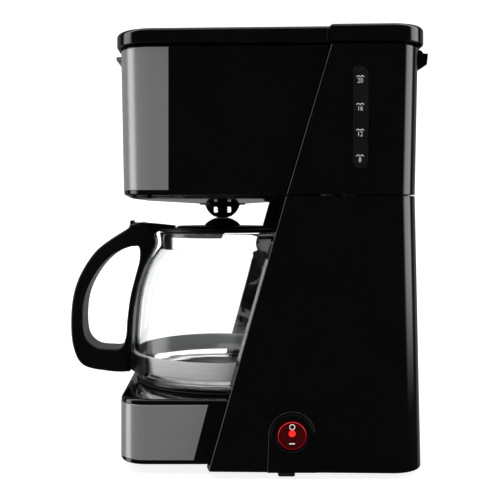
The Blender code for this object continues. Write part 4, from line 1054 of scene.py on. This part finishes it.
def carafe_lid():
    under = [(0.6, 162.0), (41.6, 161.8), (42.3, 161.2), (42.6, 157.2), (43.6, 157.2), (43.9, 160.7)]
    under += [(44.2, 161.0), (48.0, 161.1)]
    top = [(48.4, 161.3), (48.6, 161.8), (48.5, 162.6), (48.2, 163.1), (47.6, 163.4), (36.4, 163.7)]
    top += [(35.6, 163.85), (35.2, 164.2), (34.2, 165.2), (33.6, 165.4), (14.8, 165.4), (14.0, 165.5)]
    knob = [(13.5, 165.9), (13.25, 166.5), (12.6, 167.4), (11.4, 168.4), (10.2, 169.2), (9.0, 169.9)]
    knob += [(7.9, 170.45), (6.9, 170.9), (5.8, 171.25), (4.9, 171.4), (0.6, 171.4)]
    lid = started("carafe_lid", turned(under + top + knob, ROUND))
    cut(lid, slab([(-1.5, 156.0), (60.0, 156.0), (60.0, 160.9), (1.5, 160.9)], -60.0, 60.0))
    lever = [(-36.0, 162.6), (-36.0, 165.6), (-45.0, 166.6), (-54.8, 167.5), (-67.2, 168.0), (-67.6, 168.3),
             (-67.8, 169.2), (-68.2, 169.5), (-69.6, 169.5), (-69.9, 169.2), (-69.9, 166.3), (-63.0, 166.2),
             (-57.6, 165.4), (-57.4, 160.0), (-56.2, 158.6), (-54.0, 157.7), (-51.9, 158.4), (-51.0, 159.4),
             (-49.0, 161.3)]
    add(lid, slab(lever, -LEVER_HALF, LEVER_HALF), 0.35)
    add(lid, block((-6.0, -44.2, 148.2), (6.0, -38.8, 162.4)), 0.5)
    cut(lid, lid_pin_hole(20.0))
    for i in range(6):
        a = math.radians(60 * i + 30)
        cut(lid, rod(2.4, 158.0, 168.0, 19.0 * math.cos(a), 19.0 * math.sin(a)))
    fine(lid, "carafe_lid")
    pin = [(1.3, -12.6), (1.5, -12.4), (1.5, 12.4), (1.3, 12.6)]
    whole("carafe_lid_pin", along_x(pin, LID_PIN_Y, LID_PIN_Z, SMALL_ROUND))


def kept_nodes():
    """CAD nodes that keep their own mesh get their slot's finish."""
    for name, node in frame["nodes"].items():
        node.data.materials.clear()
        node.data.materials.append(MATERIALS[SLOT_OF[name]])


# ---- Studio ----
# Bearing and height of each light's middle, its half-width and half-height in degrees, and its radiance
LIGHTS = (
    (0.0, 0.0, 400.0, 400.0, 0.03),
    (-87.0, 22.0, 14.0, 44.0, 3.5),
    (88.0, 32.0, 15.0, 38.0, 3.7),
    (180.0, 0.0, 58.0, 50.0, 0.22),
    (-180.0, 0.0, 58.0, 50.0, 0.22),
    (0.0, 90.0, 400.0, 36.0, 1.4),
)
LIGHT_EDGE = 12.0
WHITE_SEEN = 1.3
CAMERA_X, CAMERA_Z = 0.617, 0.1774
CAMERA_LENS, CAMERA_SHIFT = 58.1, (0.055, -0.08)
FLOOR_HALF = 9000.0


def maths(tree, operation, *values):
    """The result of a maths node over sockets and numbers."""
    node = tree.nodes.new("ShaderNodeMath")
    node.operation = operation
    for socket, value in zip(node.inputs, values):
        if isinstance(value, float):
            socket.default_value = value
        else:
            tree.links.new(value, socket)
    return node.outputs[0]


def softbox(tree, azimuth, elevation, light):
    """A bright rectangle of the surroundings, with soft edges, from one row of LIGHTS."""
    bearing, height, across, tall, radiance = light
    sides = []
    for angle, middle, half in ((azimuth, bearing, across), (elevation, height, tall)):
        away = maths(tree, "ABSOLUTE", maths(tree, "SUBTRACT", angle, math.radians(middle)))
        fade = tree.nodes.new("ShaderNodeMapRange")
        fade.interpolation_type = "SMOOTHSTEP"
        limits = (math.radians(half - LIGHT_EDGE / 2), math.radians(half + LIGHT_EDGE / 2), 1.0, 0.0)
        for socket, value in zip(("From Min", "From Max", "To Min", "To Max"), limits):
            fade.inputs[socket].default_value = value
        tree.links.new(away, fade.inputs["Value"])
        sides.append(fade.outputs["Result"])
    return maths(tree, "MULTIPLY", maths(tree, "MULTIPLY", *sides), radiance)


def studio():
    """White surroundings to look at, and strips, a backdrop, a top and a dark front to be lit by."""
    world = bpy.data.worlds.new("studio")
    world.use_nodes = True
    bpy.context.scene.world = world
    tree = world.node_tree
    tree.nodes.clear()
    coordinates = tree.nodes.new("ShaderNodeTexCoord")
    split = tree.nodes.new("ShaderNodeSeparateXYZ")
    tree.links.new(coordinates.outputs["Generated"], split.inputs[0])
    azimuth = maths(tree, "ARCTAN2", split.outputs["Y"], split.outputs["X"])
    elevation = maths(tree, "ARCSINE", split.outputs["Z"])
    total = softbox(tree, azimuth, elevation, LIGHTS[0])
    for light in LIGHTS[1:]:
        total = maths(tree, "ADD", total, softbox(tree, azimuth, elevation, light))
    lit = tree.nodes.new("ShaderNodeBackground")
    tree.links.new(total, lit.inputs["Color"])
    seen = tree.nodes.new("ShaderNodeBackground")
    seen.inputs["Strength"].default_value = WHITE_SEEN
    seen.inputs["Color"].default_value = (1.0, 1.0, 1.0, 1.0)
    path = tree.nodes.new("ShaderNodeLightPath")
    straight = maths(tree, "MAXIMUM", path.outputs["Is Camera Ray"], path.outputs["Is Transmission Ray"])
    mix = tree.nodes.new("ShaderNodeMixShader")
    for source, socket in zip((straight, lit.outputs[0], seen.outputs[0]), mix.inputs):
        tree.links.new(source, socket)
    output = tree.nodes.new("ShaderNodeOutputWorld")
    tree.links.new(mix.outputs[0], output.inputs["Surface"])


def floor():
    plane = mesh_object("floor", block((-FLOOR_HALF, -FLOOR_HALF, -2.0), (FLOOR_HALF, FLOOR_HALF, 0.0)))
    plane.data.materials.append(MATERIALS["stage_floor"])
    plane.visible_glossy = False


def camera():
    """Level with the drip stop, square-on to the machine's right-hand side."""
    data = bpy.data.cameras.new("camera")
    eye = bpy.data.objects.new("camera", data)
    eye.location = (CAMERA_X, FRAME_Y * MM, CAMERA_Z)
    eye.rotation_euler = (math.radians(90), 0.0, math.radians(90))
    data.sensor_width = 36.0
    data.lens = CAMERA_LENS
    data.shift_x, data.shift_y = CAMERA_SHIFT
    data.clip_start = 0.05
    data.clip_end = 50.0
    bpy.context.scene.collection.objects.link(eye)
    bpy.context.scene.camera = eye
    bpy.context.scene.view_settings.view_transform = "Standard"


def main():
    for build in (
        kept_nodes, lower_housing, upper_housing, level_window, hinge_pins, bay_liner, base_housing,
        bottom_cover, screws, feet, trims, brew_head_housing, filter_basket, water_spreader,
        drip_stop_cage, drip_stop_inside, top_lid, water_tank, warming_plate, switch, cord_gland,
        carafe_glass, carafe_band, carafe_handle, carafe_lid, studio, floor, camera,
    ):
        build()


main()
